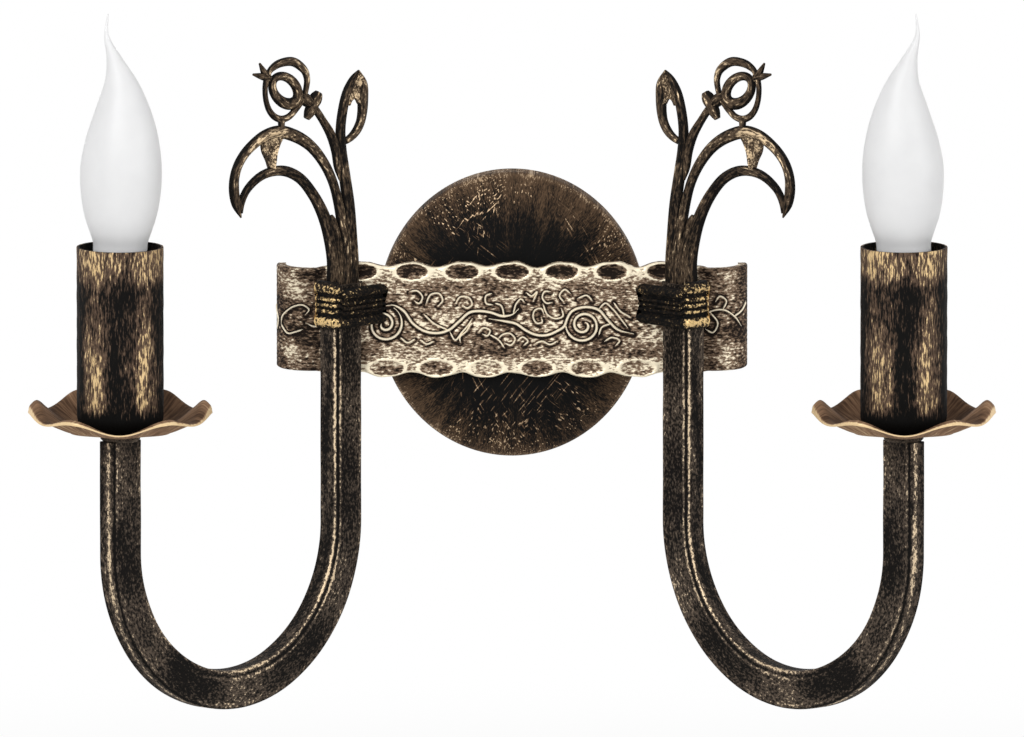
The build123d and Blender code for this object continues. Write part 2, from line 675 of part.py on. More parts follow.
def lampholder_body():
    """Moulded holder: threaded neck, conical shoulder, barrel and a wider mouth ring."""
    ring_low = holder_height - holder_ring_height
    profile = Polyline((0, 0), (holder_neck_radius, 0), (holder_neck_radius, holder_neck_height),
                       (holder_radius, holder_cone_top), (holder_radius, ring_low - 1),
                       (holder_ring_radius, ring_low), (holder_ring_radius, holder_height),
                       (0, holder_height), (0, 0))
    body = revolve(Plane.XZ * make_face(profile), Axis.Z)
    low = (Align.CENTER, Align.CENTER, Align.MIN)
    nipple_depth = outer_leg_top + nipple_length - holder_base
    body = body - Cylinder(nipple_radius + thread_gap, nipple_depth, align=low)
    body = body - Cylinder(nipple_bore, holder_floor - holder_web, align=low)
    socket = Cylinder(shell_bore + shell_wall + weld_gap, holder_height, align=low)
    body = body - Pos(0, 0, holder_floor) * socket
    return candle_axis * Pos(0, 0, holder_base) * body


def lampholder_shell():
    """Threaded metal sleeve that the lamp's cap screws into."""
    height = holder_height - holder_floor - shell_lift - shell_inset
    threaded = ring(shell_bore + shell_wall, shell_bore, height)
    return candle_axis * Pos(0, 0, socket_floor + shell_lift) * threaded


def lampholder_contact():
    low = (Align.CENTER, Align.CENTER, Align.MIN)
    base = Cylinder(shell_bore - 1, holder_contact_base, align=low)
    button = Cylinder(bulb_contact_radius, contact_top - socket_floor, align=low)
    return candle_axis * Pos(0, 0, socket_floor) * (base + button)


def flame_outline():
    """Height above the cap, radius, and sideways lean of the flame, from its neck to its tip."""
    return ((0.0, 6.6, 0.0), (4.6, 9.0, 0.0), (10.3, 11.7, 0.2), (19.2, 14.9, 0.3),
            (32.6, 17.2, 0.4), (41.6, 17.35, 0.5), (52.0, 15.9, 0.9), (67.6, 11.3, 1.3),
            (79.7, 6.5, 0.4), (88.3, 3.4, -2.2), (98.5, 1.0, -5.6), (107.3, 0.4, -4.9))


def flame(shrink, bottom, top):
    """Solid flame, smaller all round by a wall, from one height above the cap to another."""
    sections = []
    for height, radius, lean in flame_outline():
        if radius - shrink > 0.3 and height <= top:
            level = max(height, bottom)
            sections.append(Plane((lean, 0, level)) * Circle(radius - shrink))
    return loft(sections, ruled=True)


def bulb_glass():
    """Frosted flame with a bent tip, blown hollow."""
    glass = flame(0, 0, glass_height) - flame(glass_wall, 2 * glass_wall, hollow_height)
    return Pos(candle_axis.position) * Pos(0, 0, glass_bottom) * glass


def bulb_cap():
    low = (Align.CENTER, Align.CENTER, Align.MIN)
    shell = Cylinder(cap_radius, cap_height, align=low)
    shell = chamfer(shell.edges().group_by(Axis.Z)[0], cap_radius / 3)
    return candle_axis * Pos(0, 0, cap_bottom) * shell


def bulb_contact():
    low = (Align.CENTER, Align.CENTER, Align.MIN)
    button = Cylinder(bulb_contact_radius, bulb_contact_height, align=low)
    return candle_axis * Pos(0, 0, bulb_bottom) * button


# ---- build ------------------------------------------------------------------------------
single_pieces = {
    "wall_bracket": wall_bracket,
    "earth_screw": earth_screw,
    "terminal_block": terminal_block,
    "terminal_barrels": terminal_barrels,
    "terminal_screws": terminal_screws,
    "canopy": canopy,
    "canopy_side_screws": side_screws,
    "lead_grommets": lead_grommets,
    "strap": strap,
    "strap_studs": strap_studs,
    "strap_washers": strap_washers,
    "strap_nuts": strap_nuts,
    "strap_bushes": strap_bushes,
}
paired_pieces = {
    "arm": arm,
    "arm_saddle": arm_saddle,
    "arm_plug": arm_plug,
    "collar": collar,
    "sprig": sprig,
    "pan_seat": pan_seat,
    "lamp_nipple": lamp_nipple,
    "drip_pan": drip_pan,
    "candle_sleeve": candle_sleeve,
    "pan_nut": pan_nut,
    "lampholder_body": lampholder_body,
    "lampholder_shell": lampholder_shell,
    "lampholder_contact": lampholder_contact,
    "bulb_glass": bulb_glass,
    "bulb_cap": bulb_cap,
    "bulb_contact": bulb_contact,
}


def as_shape(result):
    return Compound(children=list(result)) if isinstance(result, list) else result


os.makedirs("parts", exist_ok=True)
for name, make in single_pieces.items():
    export_step(as_shape(make()), f"parts/{name}.step")
for name, make in paired_pieces.items():
    left = as_shape(make())
    export_step(left, f"parts/{name}_left.step")
    export_step(mirror(left, Plane.YZ), f"parts/{name}_right.step")
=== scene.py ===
import json

import bpy
import numpy as np
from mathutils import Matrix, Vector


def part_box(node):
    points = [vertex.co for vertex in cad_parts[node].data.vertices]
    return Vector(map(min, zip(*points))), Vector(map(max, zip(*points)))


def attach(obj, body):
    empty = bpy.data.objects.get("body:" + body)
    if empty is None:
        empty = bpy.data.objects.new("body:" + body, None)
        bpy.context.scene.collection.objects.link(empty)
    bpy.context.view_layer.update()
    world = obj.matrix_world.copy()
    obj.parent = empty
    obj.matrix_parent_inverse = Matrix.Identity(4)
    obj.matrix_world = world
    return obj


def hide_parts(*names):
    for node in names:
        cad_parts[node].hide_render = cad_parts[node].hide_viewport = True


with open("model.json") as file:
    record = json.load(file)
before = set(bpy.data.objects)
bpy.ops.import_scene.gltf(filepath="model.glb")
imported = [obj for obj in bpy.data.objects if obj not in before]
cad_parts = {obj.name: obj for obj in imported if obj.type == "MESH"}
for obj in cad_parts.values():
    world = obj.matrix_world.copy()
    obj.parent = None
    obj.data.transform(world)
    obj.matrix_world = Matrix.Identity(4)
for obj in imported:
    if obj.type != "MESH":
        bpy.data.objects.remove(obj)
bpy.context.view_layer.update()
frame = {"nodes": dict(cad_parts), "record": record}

# Canopy: an oval dome pressed from thin steel sheet, lacquered near-black, with scattered scratches
# of gold. Its skirt is painted lighter brown towards the rim and a painted highlight line runs round
# the rim, both as painted light, and its middle is darkened as painted shade. A screw at each side
# holds it on the wall bracket. Here and below, shapes are in millimetres in the part's own frame,
# with x to the right, -y to the room and z up.
canopy_wall = 1.2
canopy_skirt = 10.0
canopy_flat = 24.0
canopy_black = (7, 7, 7)
canopy_brown = (96, 75, 56)
canopy_gold = (176, 142, 100)
canopy_ray_circle = 60.0    # radius at which the rays of the finish have their true width
canopy_ray_stretch = 0.3    # of the finish along a ray
scratch_headings = (6, 38, 128, 152)
scratch_wear = 0.44


def box_of(node):
    """Lowest and highest corner of a CAD node, in millimetres."""
    return [np.array(corner) * 1000 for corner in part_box(node)]


def paint(red, green, blue):
    """A colour as it is seen, 0 to 255, turned into the linear values that a shader takes."""
    seen = np.array([red, green, blue]) / 255
    linear = np.where(seen <= 0.04045, seen / 12.92, ((seen + 0.055) / 1.055) ** 2.4)
    return (*linear.tolist(), 1)


def ripple(u, v, size, seed=0.0):
    """Smooth unevenness from -1 to 1: two sine waves of about `size`, each bent by the other."""
    first = np.sin(u / size + 1.3 * seed + 1.7 * np.sin(0.7 * v / size + seed))
    second = np.sin(1.31 * v / size + 2.1 * seed + 1.3 * np.sin(0.9 * u / size - seed))
    return (first + second) / 2


def bump(x, width):
    """A bell curve: 1 at zero, falling to 1/e at `width`."""
    return np.exp(-(x / width) ** 2)


def shell(grid, wear_and_light, place=None, ring=False):
    """Closed skin over a grid of points: (i, j), (i + 1, j), (i + 1, j + 1) and (i, j + 1) make one
    face. The grid closes on itself along j, and with `ring` also along i; otherwise a fan round the
    mean point closes each end. The third input is how far the finish is rubbed back at each point,
    with painted light and shade added in on some pieces, and `place` is where the point lies in the
    pattern of the finish."""
    rows, columns = grid.shape[:2]
    place = grid if place is None else place
    wear_and_light = np.broadcast_to(wear_and_light, (rows, columns))
    number = np.arange(rows * columns).reshape(rows, columns)
    here = number if ring else number[:-1]
    ahead = np.roll(number, -1, axis=0) if ring else number[1:]
    corners = [here, ahead, np.roll(ahead, -1, axis=1), np.roll(here, -1, axis=1)]
    quads = np.stack(corners, axis=-1).reshape(-1, 4)
    points, wears_and_light, places = grid.reshape(-1, 3), wear_and_light.reshape(-1), place.reshape(-1, 3)
    fans = np.zeros((0, 3), int)
    ends = [] if ring else [(0, 1), (-1, -1)]
    for end, turn in ends:
        row = number[end]
        middle = np.full(columns, len(points))
        fan = np.stack([row, np.roll(row, -1), middle][::turn], axis=-1)
        fans = np.vstack([fans, fan])
        points = np.vstack([points, grid[end].mean(axis=0)])
        wears_and_light = np.append(wears_and_light, wear_and_light[end].mean())
        places = np.vstack([places, place[end].mean(axis=0)])
    return {"points": points, "quads": quads, "fans": fans, "wear_and_light": wears_and_light, "place": places}


def facing_out(points, quads, fans):
    """The faces, all turned round if the volume that they enclose comes out negative."""
    thirds = np.vstack([quads[:, [0, 1, 2]], quads[:, [0, 2, 3]], fans])
    a, b, c = (points[thirds[:, k]] - points.mean(axis=0) for k in range(3))
    step = -1 if (a * np.cross(b, c)).sum() < 0 else 1
    return quads[:, ::step], fans[:, ::step]


def piece(name, shells, material, node=None, body="fixture", mirrored=False, crease=40):
    """One object from its shells, at its place in the frame, riding on a body. The mirrored one is
    the same piece on the other side of the sconce, with x turned round."""
    sign = np.array([-1.0 if mirrored else 1.0, 1.0, 1.0])
    points, faces, wears_and_light, places, start = [], [], [], [], 0
    for part in shells:
        here = part["points"] * sign
        quads, fans = facing_out(here, part["quads"], part["fans"])
        faces += (quads + start).tolist() + (fans + start).tolist()
        points.append(here)
        wears_and_light.append(part["wear_and_light"])
        places.append(part["place"] * sign)
        start += len(here)
    mesh = bpy.data.meshes.new(name)
    mesh.from_pydata((np.vstack(points) / 1000).tolist(), [], faces)
    mesh.attributes.new("wear_and_light", "FLOAT", "POINT").data.foreach_set("value", np.concatenate(wears_and_light))
    pattern = mesh.attributes.new("place", "FLOAT_VECTOR", "POINT")
    pattern.data.foreach_set("vector", (np.vstack(places) / 1000).ravel())
    mesh.polygons.foreach_set("use_smooth", [True] * len(mesh.polygons))
    mesh.set_sharp_from_angle(angle=np.radians(crease))
    mesh.materials.append(material)
    thing = bpy.data.objects.new(name, mesh)
    bpy.context.scene.collection.objects.link(thing)
    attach(thing, body)
    if node:
        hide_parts(node)


def group_socket(tree, name, kind, way, value=None):
    """Adds a named socket to a node group, with its value when nothing is linked to it."""
    socket = tree.interface.new_socket(name=name, in_out=way, socket_type="NodeSocket" + kind)
    if value is not None:
        socket.default_value = value


def node(tree, kind, links=None, **settings):
    """Adds a shader node, with its settings and what is linked or set on its inputs."""
    made = tree.nodes.new("ShaderNode" + kind)
    for key, value in settings.items():
        setattr(made, key, value)
    for socket, value in (links or {}).items():
        if isinstance(value, bpy.types.NodeSocket):
            tree.links.new(value, made.inputs[socket])
        else:
            made.inputs[socket].default_value = value
    return made


def math(tree, operation, *values, clamp=False):
    """The output of a Math node over sockets or plain numbers."""
    links = dict(enumerate(values))
    return node(tree, "Math", links, operation=operation, use_clamp=clamp).outputs[0]


def mix_colour(tree, amount, first, second):
    """The colour between two others, from the first at zero to the second at one."""
    made = tree.nodes.new("ShaderNodeMix")
    made.data_type = "RGBA"
    for socket, kind, value in (("Factor", "VALUE", amount), ("A", "RGBA", first), ("B", "RGBA", second)):
        end = next(s for s in made.inputs if s.name == socket and s.type == kind)
        if isinstance(value, bpy.types.NodeSocket):
            tree.links.new(value, end)
        else:
            end.default_value = value
    return next(s for s in made.outputs if s.type == "RGBA")


def rubbed_bronze():
    """Group for the antiqued finish: dark lacquer over brown, rubbed back to gold where the wear is
    high. Painted light and shade come in with the wear on some pieces and are coloured the same way.
    Fine flecks and broad patches are added to the wear, and two steps of that sum give brown
    and gold. Gold is smoother, more metallic and stands a little lower than the lacquer."""
    tree = bpy.data.node_groups.new("rubbed_bronze", "ShaderNodeTree")
    group_socket(tree, "Place", "Vector", "INPUT")
    for name, value in (("Wear_and_light", 0.3), ("Grain", 1800.0), ("Patch", 120.0), ("Fleck", 1.0), ("Blotch", 0.5),
                        ("Softness", 0.07)):
        group_socket(tree, name, "Float", "INPUT", value)
    for name in ("Dark", "Brown", "Gold"):
        group_socket(tree, name, "Color", "INPUT")
    group_socket(tree, "Color", "Color", "OUTPUT")
    for name in ("Roughness", "Metallic", "Height"):
        group_socket(tree, name, "Float", "OUTPUT")
    inside, outside = tree.nodes.new("NodeGroupInput").outputs, tree.nodes.new("NodeGroupOutput")
    fine = node(tree, "TexNoise", {"Vector": inside["Place"], "Scale": inside["Grain"], "Detail": 3.0,
                                   "Roughness": 0.65}).outputs["Fac"]
    broad = node(tree, "TexNoise", {"Vector": inside["Place"], "Scale": inside["Patch"], "Detail": 2.0,
                                    "Roughness": 0.5}).outputs["Fac"]
    flecks = math(tree, "MULTIPLY", math(tree, "SUBTRACT", fine, 0.5), inside["Fleck"])
    patches = math(tree, "MULTIPLY", math(tree, "SUBTRACT", broad, 0.5), inside["Blotch"])
    level = math(tree, "ADD", math(tree, "ADD", inside["Wear_and_light"], flecks), patches)
    low = math(tree, "SUBTRACT", 0.5, inside["Softness"])
    high = math(tree, "ADD", 0.5, inside["Softness"])
    gilt = node(tree, "MapRange", {"Value": level, "From Min": low, "From Max": high},
                interpolation_type="SMOOTHSTEP").outputs[0]
    browned = node(tree, "MapRange", {"Value": level, "From Min": 0.02, "From Max": 0.46},
                   interpolation_type="SMOOTHSTEP").outputs[0]
    lacquer = mix_colour(tree, browned, inside["Dark"], inside["Brown"])
    tinted = mix_colour(tree, math(tree, "MULTIPLY", fine, 0.3), inside["Gold"], (1.0, 0.94, 0.8, 1))
    colour = mix_colour(tree, gilt, lacquer, tinted)
    roughness = node(tree, "MapRange", {"Value": gilt, "To Min": 0.72, "To Max": 0.42}).outputs[0]
    metallic = node(tree, "MapRange", {"Value": gilt, "To Min": 0.0, "To Max": 0.5}).outputs[0]
    height = math(tree, "SUBTRACT", fine, math(tree, "MULTIPLY", gilt, 0.35))
    results = {"Color": colour, "Roughness": roughness, "Metallic": metallic, "Height": height}
    for name, value in results.items():
        tree.links.new(value, outside.inputs[name])
    return tree


antique = rubbed_bronze()


def scratches(tree, headings, amount):
    """Fine straight scratches over a face: for each heading, noise drawn out along it, of which only
    the rarest peaks are kept, and only inside broad patches. Their sum adds to the wear. Each heading
    takes its noise from another place."""
    place = node(tree, "TexCoord").outputs["Object"]
    total = 0.0
    for heading in headings:
        turn_and_draw = {"Vector": place, "Location": (0.01 * heading, 0, 0), "Scale": (1, 1, 26),
                         "Rotation": (0, np.radians(heading), 0)}
        drawn = node(tree, "Mapping", turn_and_draw, vector_type="TEXTURE").outputs[0]
        line = node(tree, "TexNoise", {"Vector": drawn, "Scale": 1500.0, "Detail": 0.0}).outputs["Fac"]
        spot = node(tree, "TexNoise", {"Vector": drawn, "Scale": 60.0, "Detail": 0.0}).outputs["Fac"]
        line = node(tree, "MapRange", {"Value": line, "From Min": 0.68, "From Max": 0.75}).outputs[0]
        spot = node(tree, "MapRange", {"Value": spot, "From Min": 0.56, "From Max": 0.66}).outputs[0]
        total = math(tree, "ADD", math(tree, "MULTIPLY", line, spot), total)
    return math(tree, "MULTIPLY", total, amount)


def bronze(name, dark, brown, gold, stretch=(1, 1, 1), wear_and_light=None, relief=0.25, scratched=(), **amounts):
    """A material of rubbed bronze. Its wear, with any painted light and shade added to it, and its
    pattern's place come from the mesh, or else the wear is one number and the pattern follows Object
    coordinates. `stretch` draws the pattern out, and `scratched` lists the headings of its scratches,
    in degrees."""
    material = bpy.data.materials.new(name)
    material.use_nodes = True
    tree = material.node_tree
    shader = tree.nodes["Principled BSDF"]
    shader.inputs["Specular IOR Level"].default_value = 0.1
    if wear_and_light is None:
        place = node(tree, "Attribute", attribute_name="place").outputs["Vector"]
        wear_and_light = node(tree, "Attribute", attribute_name="wear_and_light").outputs["Fac"]
    else:
        place = node(tree, "TexCoord").outputs["Object"]
    place = node(tree, "Mapping", {"Vector": place, "Scale": stretch}).outputs[0]
    if scratched:
        wear_and_light = math(tree, "ADD", wear_and_light, scratches(tree, scratched, scratch_wear))
    finish = node(tree, "Group", node_tree=antique)
    tree.links.new(place, finish.inputs["Place"])
    links = {"Wear_and_light": wear_and_light, "Dark": paint(*dark), "Brown": paint(*brown), "Gold": paint(*gold)}
    links.update({key.capitalize(): value for key, value in amounts.items()})
    for socket, value in links.items():
        if isinstance(value, bpy.types.NodeSocket):
            tree.links.new(value, finish.inputs[socket])
        else:
            finish.inputs[socket].default_value = value
    raised_by = {"Height": finish.outputs["Height"], "Strength": relief, "Distance": 0.0003}
    raised = node(tree, "Bump", raised_by)
    tree.links.new(finish.outputs["Color"], shader.inputs["Base Color"])
    tree.links.new(finish.outputs["Roughness"], shader.inputs["Roughness"])
    tree.links.new(finish.outputs["Metallic"], shader.inputs["Metallic"])
    tree.links.new(raised.outputs[0], shader.inputs["Normal"])
    return material


def turned(radius, along, angles):
    """A profile turned round the Z axis: (radius cos a, radius sin a, along) at each angle a."""
    across = np.stack([np.cos(angles), np.sin(angles)], axis=-1)
    level = np.broadcast_to(along[:, None, None], (len(along), len(angles), 1))
    return np.concatenate([radius[:, None, None] * across, level], axis=-1)


def dome(half_width, depth):
    """Half section of the dome, from the middle of its front to its rim: a flat, a quarter of an
    ellipse and a straight skirt, as radius and forward reach."""
    flat = np.linspace(1, canopy_flat, 24)
    quarter = np.linspace(np.pi / 2, 0, 40)[1:]
    skirt = np.linspace(canopy_skirt, 0, 9)[1:]
    shoulder = canopy_flat + (half_width - canopy_flat) * np.cos(quarter)
    rise = canopy_skirt + (depth - canopy_skirt) * np.sin(quarter)
    radius = np.concatenate([flat, shoulder, half_width + 0 * skirt])
    return radius, np.concatenate([depth + 0 * flat, rise, skirt])


canopy_low, canopy_high = box_of("canopy")
canopy_half_width, canopy_half_height = canopy_high[0], canopy_high[2]
canopy_depth = -canopy_low[1]
outer_radius, outer_rise = dome(canopy_half_width, canopy_depth)
inner_radius, inner_rise = dome(canopy_half_width - canopy_wall, canopy_depth - canopy_wall)
radius = np.concatenate([outer_radius, inner_radius[::-1]])
rise = np.concatenate([outer_rise, inner_rise[::-1]])
angles = np.linspace(0, 2 * np.pi, 240, endpoint=False)
canopy_grid = turned(radius, rise, angles)[..., [0, 2, 1]]
canopy_grid *= np.array([1, -1, canopy_half_height / canopy_half_width])
share = (radius / canopy_half_width)[:, None]
# the wear grows in uneven rays; painted light makes the skirt lighter brown towards the rim, a painted
# highlight line runs round the rim, and painted shade keeps the middle dark
canopy_wear_and_light = 0.24 * np.clip((share - 0.7) / 0.3, 0, 1) + 0.06 * np.clip((share - 0.5) / 0.2, 0, 1) - 0.04
canopy_wear_and_light = canopy_wear_and_light + 0.1 * ripple(3 * np.cos(angles), 3 * np.sin(angles), 0.8, 2)[None] * share
canopy_wear_and_light = canopy_wear_and_light + 0.12 * bump(share - 0.985, 0.012) - 0.1 * bump(share, 0.5)
canopy_place = turned(canopy_ray_circle + 0 * radius, radius * canopy_ray_stretch, angles)
canopy_finish = bronze("bronze_canopy", canopy_black, canopy_brown, canopy_gold, grain=2000.0,
                       patch=190.0, fleck=0.95, blotch=0.55, softness=0.06, scratched=scratch_headings)
canopy_shell = shell(canopy_grid, canopy_wear_and_light, canopy_place)
piece("canopy_dome", [canopy_shell], canopy_finish, "canopy")


# Strap: a 4 mm flat steel bar with both ends bent back, held on the canopy by two studs. Its long
# edges are hammered into a row of dents with a wavy outline, and a vine scroll is rolled into its
# face. High places are rubbed back to cream gold; the upper dents and the grooves below the vine are
# darkened with painted shade, and a painted highlight lies on the bends of the ends.
strap_thickness = 4.0
strap_bend = 15.0
strap_pitch = 21.5
strap_wave = 2.1
strap_edge_round = 0.9
strap_end_drop = 0.6        # how much lower the outline is on the plain ends
worked_half_length = 84.0   # of the hammered stretch between the arms
end_highlight_run = 94.0         # where a painted highlight lies along the edges of each end, on its bend
dent_inset = 3.9
dent_half_length = 7.0
dent_half_height = 3.5
dent_depth = 1.3
dent_rim = 0.3              # how far the metal is pushed up round a dent
groove_depth = 0.35
# painted shadow: how dark the grooves below the vine's lines are painted
groove_shadow = 0.75
groove_shift = 0.35         # the grooves, and the painted shadow in them, lie a little below the vine's own lines, where light from above casts it
strap_dark = (27, 19, 14)
strap_brown = (140, 116, 95)
strap_gold = (252, 238, 208)

strap_low, strap_high = box_of("strap")
strap_front = -strap_low[1]
strap_half_length = strap_high[0]
strap_half_height = strap_high[2] - strap_wave
strap_straight = strap_half_length - strap_bend
strap_tail = strap_front + strap_high[1] - strap_bend
strap_run = strap_straight + np.pi / 2 * strap_bend + strap_tail


def on_strap(run, height, lift):
    """Point of the strap from its run along the face, its height and its lift off the face. The
    face is straight, then turns a quarter circle back, then is straight again."""
    along, side = np.abs(run), np.sign(run)
    turn = np.clip((along - strap_straight) / strap_bend, 0, np.pi / 2)
    past = np.maximum(along - strap_straight - np.pi / 2 * strap_bend, 0)
    x = np.minimum(along, strap_straight) + strap_bend * np.sin(turn) + lift * np.sin(turn)
    forward = strap_front - strap_bend * (1 - np.cos(turn)) - past + lift * np.cos(turn)
    return np.stack(np.broadcast_arrays(side * x, -forward, height), axis=-1)


def smooth(rows, count, closed=False):
    """Curve through the rows, spaced evenly along it: cubic pieces whose slope at each row is that
    of the rows beside it. The first two columns are its place, and the others follow along."""
    rows = np.array(rows, float)
    rows = np.vstack([rows, rows[:1]]) if closed else rows
    steps = np.hypot(*np.diff(rows[:, :2], axis=0).T)
    at = np.concatenate([[0], np.cumsum(steps)])
    slopes = np.gradient(rows, at, axis=0)
    if closed:
        join = (rows[1] - rows[-2]) / (steps[0] + steps[-1])
        slopes[0] = slopes[-1] = join
    x = np.linspace(0, at[-1], count, endpoint=not closed)
    k = np.clip(np.searchsorted(at, x, side="right") - 1, 0, len(steps) - 1)
    h = steps[k][:, None]
    u = (x - at[k])[:, None] / h
    start = (1 + 2 * u) * (1 - u) ** 2 * rows[k] + u * (1 - u) ** 2 * h * slopes[k]
    return start + u * u * (3 - 2 * u) * rows[k + 1] + u * u * (u - 1) * h * slopes[k + 1]


def spiral(centre, outer, inner, start, turns, count=60):
    """Scroll that winds in: run and height at an even turn, with an evenly shrinking radius."""
    part = np.linspace(0, 1, count)
    radius = outer + (inner - outer) * part
    angle = np.radians(start) + turns * 2 * np.pi * part
    return np.stack([centre[0] + radius * np.cos(angle), centre[1] + radius * np.sin(angle)], axis=-1)


# The vine, as run along the strap's face and height: its stem in two long waves, two scrolls, and
# the curled leaves and tendrils that leave the stem.
vine_stem = [(-54, 6.2), (-51.2, 6.5), (-46.9, 4.3), (-42.2, -1.8), (-37.5, -4.8), (-31.5, -5.6),
             (-27.3, -4.4), (-22.6, -0.5), (-17.9, 3.4), (-13.5, 3.9), (-9.7, 3.4), (-3.3, 1.7),
             (0.5, 2.6), (2.9, 4.9)]
vine_second_stem = [(-10.0, 0.6), (-3.3, -0.5), (1.4, -1.5), (6.5, -4.8), (10.3, -6.4), (14.5, -6.6),
                    (18.9, -5.0), (22.6, -2.4), (23.6, 0.4), (25.3, 3.4), (30.9, 5.6), (37.3, 4.3),
                    (41.1, 0.0), (45.2, -4.0), (52.2, -6.0)]
vine_tendrils = [
    [(-37.9, 2.6), (-33.7, -1.3), (-27.3, -4.4)],
    [(-26.8, -4.8), (-24.3, -8.7), (-21.7, -5.6), (-17.9, -0.9), (-17.0, 0.8)],
    [(-22.1, -9.9), (-22.4, -7.8), (-19.4, -4.6), (-17.6, -1.5)],
    [(-3.3, 1.7), (-5.0, 6.5), (-7.2, 7.3)],
    [(0.5, 2.8), (2.2, 7.6), (3.9, 9.1), (5.4, 7.7)],
    [(13.2, 7.1), (15.5, 2.1), (18.9, 0.6), (21.8, 1.7), (21.2, 5.2)],
    [(13.8, 2.3), (12.4, 5.0), (9.9, 4.3), (9.1, 1.2), (10.8, -1.4), (12.9, -0.9), (12.6, 1.2)],
    [(16.6, 12.3), (14.0, 12.3), (13.0, 9.9), (14.9, 7.3), (17.4, 7.7)],
    [(36.8, 4.3), (40.3, 7.3), (42.8, 5.2), (47.1, 0.0), (49.7, -3.5)],
    [(43.6, 7.6), (46.8, 3.6), (51.0, 1.2)],
    [(42.4, -1.6), (38.6, -3.1), (37.2, -6.6)],
    [(39.6, -9.3), (42.8, -7.6), (46.2, -9.0), (44.4, -11.2)],
    [(-6.2, -8.4), (-3.8, -6.2), (-1.0, -5.8), (1.3, -8.2), (-0.6, -10.9), (-3.4, -9.8)],
    [(-9.6, -6.3), (-5.8, -8.6), (-3.2, -12.1)],
    [(-44.0, 12.4), (-40.6, 12.6), (-38.4, 9.8), (-40.0, 7.2), (-42.0, 8.4)],
    [(-37.0, 6.8), (-34.6, 11.2), (-31.2, 11.4), (-29.8, 8.2), (-31.8, 6.2)],
    [(-24.4, 7.0), (-22.2, 10.0), (-18.4, 9.6), (-17.2, 6.6), (-19.4, 5.2), (-21.2, 6.6)],
    [(-8.6, 11.6), (-11.2, 10.4), (-11.0, 7.2), (-8.2, 6.6)],
    [(22.4, 7.6), (20.4, 10.6), (22.6, 13.2), (25.2, 11.4)],
    [(28.2, 9.4), (32.2, 10.6), (34.6, 8.2)],
    [(-33.6, -9.2), (-36.6, -10.4), (-39.2, -8.6)],
    [(-47.8, -7.6), (-44.8, -9.8), (-41.6, -8.2)],
    [(9.6, -10.4), (12.8, -9.2), (16.4, -10.6), (19.6, -9.0)],
    [(-14.6, -5.4), (-12.2, -3.4), (-9.4, -4.6), (-10.6, -6.8), (-12.8, -6.0)],
    [(2.4, -8.8), (4.6, -7.4), (6.8, -9.2), (5.0, -11.0)],
    [(6.0, 12.0), (8.4, 10.4), (10.6, 12.2), (9.0, 8.0)],
    [(-66, 3.4), (-69.5, 7.5), (-74.0, 5.6), (-78.4, 0.4), (-84.6, -2.8), (-88.6, -1.2)],
    [(-101.8, -2.5), (-101.0, 0.2), (-97.3, 3.6), (-93.7, 5.7), (-89.3, 6.3), (-87.0, 4.4), (-88.8, 2.2)],
    [(-101.8, -2.5), (-99.5, -4.7), (-97.3, -6.2), (-93.2, -5.4), (-89.7, -4.1)],
    [(-110.8, 5.0), (-107.2, 2.6), (-104.6, -1.0), (-106.4, -5.6)],
    [(66, 2.2), (70.0, -3.6), (75.4, -5.2), (80.2, -1.0), (84.8, 3.6), (90.4, 4.4), (96.0, 1.2),
     (100.6, -3.6)],
    [(90.4, 4.4), (92.0, 8.2), (89.0, 10.2), (87.2, 7.8)],
    [(96.0, 1.2), (101.0, 3.4), (105.2, 6.8)],
    [(84.8, 3.6), (88.2, -1.8), (86.0, -5.4), (82.8, -3.8)],
]
vine_curves = [smooth(vine_stem, 150), smooth(vine_second_stem, 150),
               spiral((-54.8, -1.8), 8.2, 1.2, 60, -1.7), spiral((30.6, -2.2), 7.9, 1.4, 150, 1.75)]
tendril_curves = [smooth(rows, 40) for rows in vine_tendrils]


def worked(run, fade):
    """One on the hammered stretch, falling to zero in a straight line over the last `fade` of it."""
    return np.clip((worked_half_length - np.abs(run)) / fade, 0, 1)


def half_height(run, shift):
    """Height of the outline: full opposite each dent and lower between two of them, and nearly
    straight where the strap's ends run on beyond the arms."""
    between = np.abs(np.sin(np.pi * (run / strap_pitch - shift)))
    uneven = 0.3 * ripple(run, run, 3.1, shift) * np.clip((strap_straight - np.abs(run)) / 10, 0, 1)
    straight = strap_half_height - strap_end_drop + uneven
    return straight + worked(run, 8) * (strap_wave * (1 - between ** 3) + strap_end_drop)


def dent_distance(run, height, side, shift):
    """How far a point lies from the nearest dent of one edge, where 1 is the dent's own outline."""
    along = ((run / strap_pitch - shift + 0.5) % 1 - 0.5) * strap_pitch
    across = height * side - (strap_half_height + strap_wave - dent_inset)
    length = dent_half_length * (1 + 0.07 * ripple(run, run, 31.0, side))
    return np.hypot(along / length, across / dent_half_height)


strap_rows, strap_columns = 620, 128
run = np.linspace(-strap_run, strap_run, strap_rows)[:, None]
upper, lower = half_height(run, 0.0), half_height(run, 0.5)
across = np.linspace(0, 1, strap_columns)[None]
height = upper - (upper + lower) * across
from_edge = np.minimum(upper - height, height + lower)
lift = -strap_edge_round * np.clip(1 - from_edge / strap_edge_round, 0, 1) ** 2
inside_arms = worked(run, 6)
# the face is rubbed evenly between the arms and less on the ends, and most along its edges; a painted
# highlight lies along the edges where each end bends back
end_wear_and_highlight = 0.17 + 0.26 * np.clip((np.abs(height) - 6) / 7, 0, 1) * bump(np.abs(run) - end_highlight_run, 5.0)
face_wear_and_light = 0.4 * inside_arms + end_wear_and_highlight * (1 - inside_arms)
face_wear_and_light = face_wear_and_light + 0.11 * ripple(run, 3 * height, 9.0, 4) + 0.4 * bump(from_edge, 0.7) * inside_arms
face_wear_and_light = face_wear_and_light + 0.15 * ripple(run, height, 0.75, 2) * bump(height, 13.0)
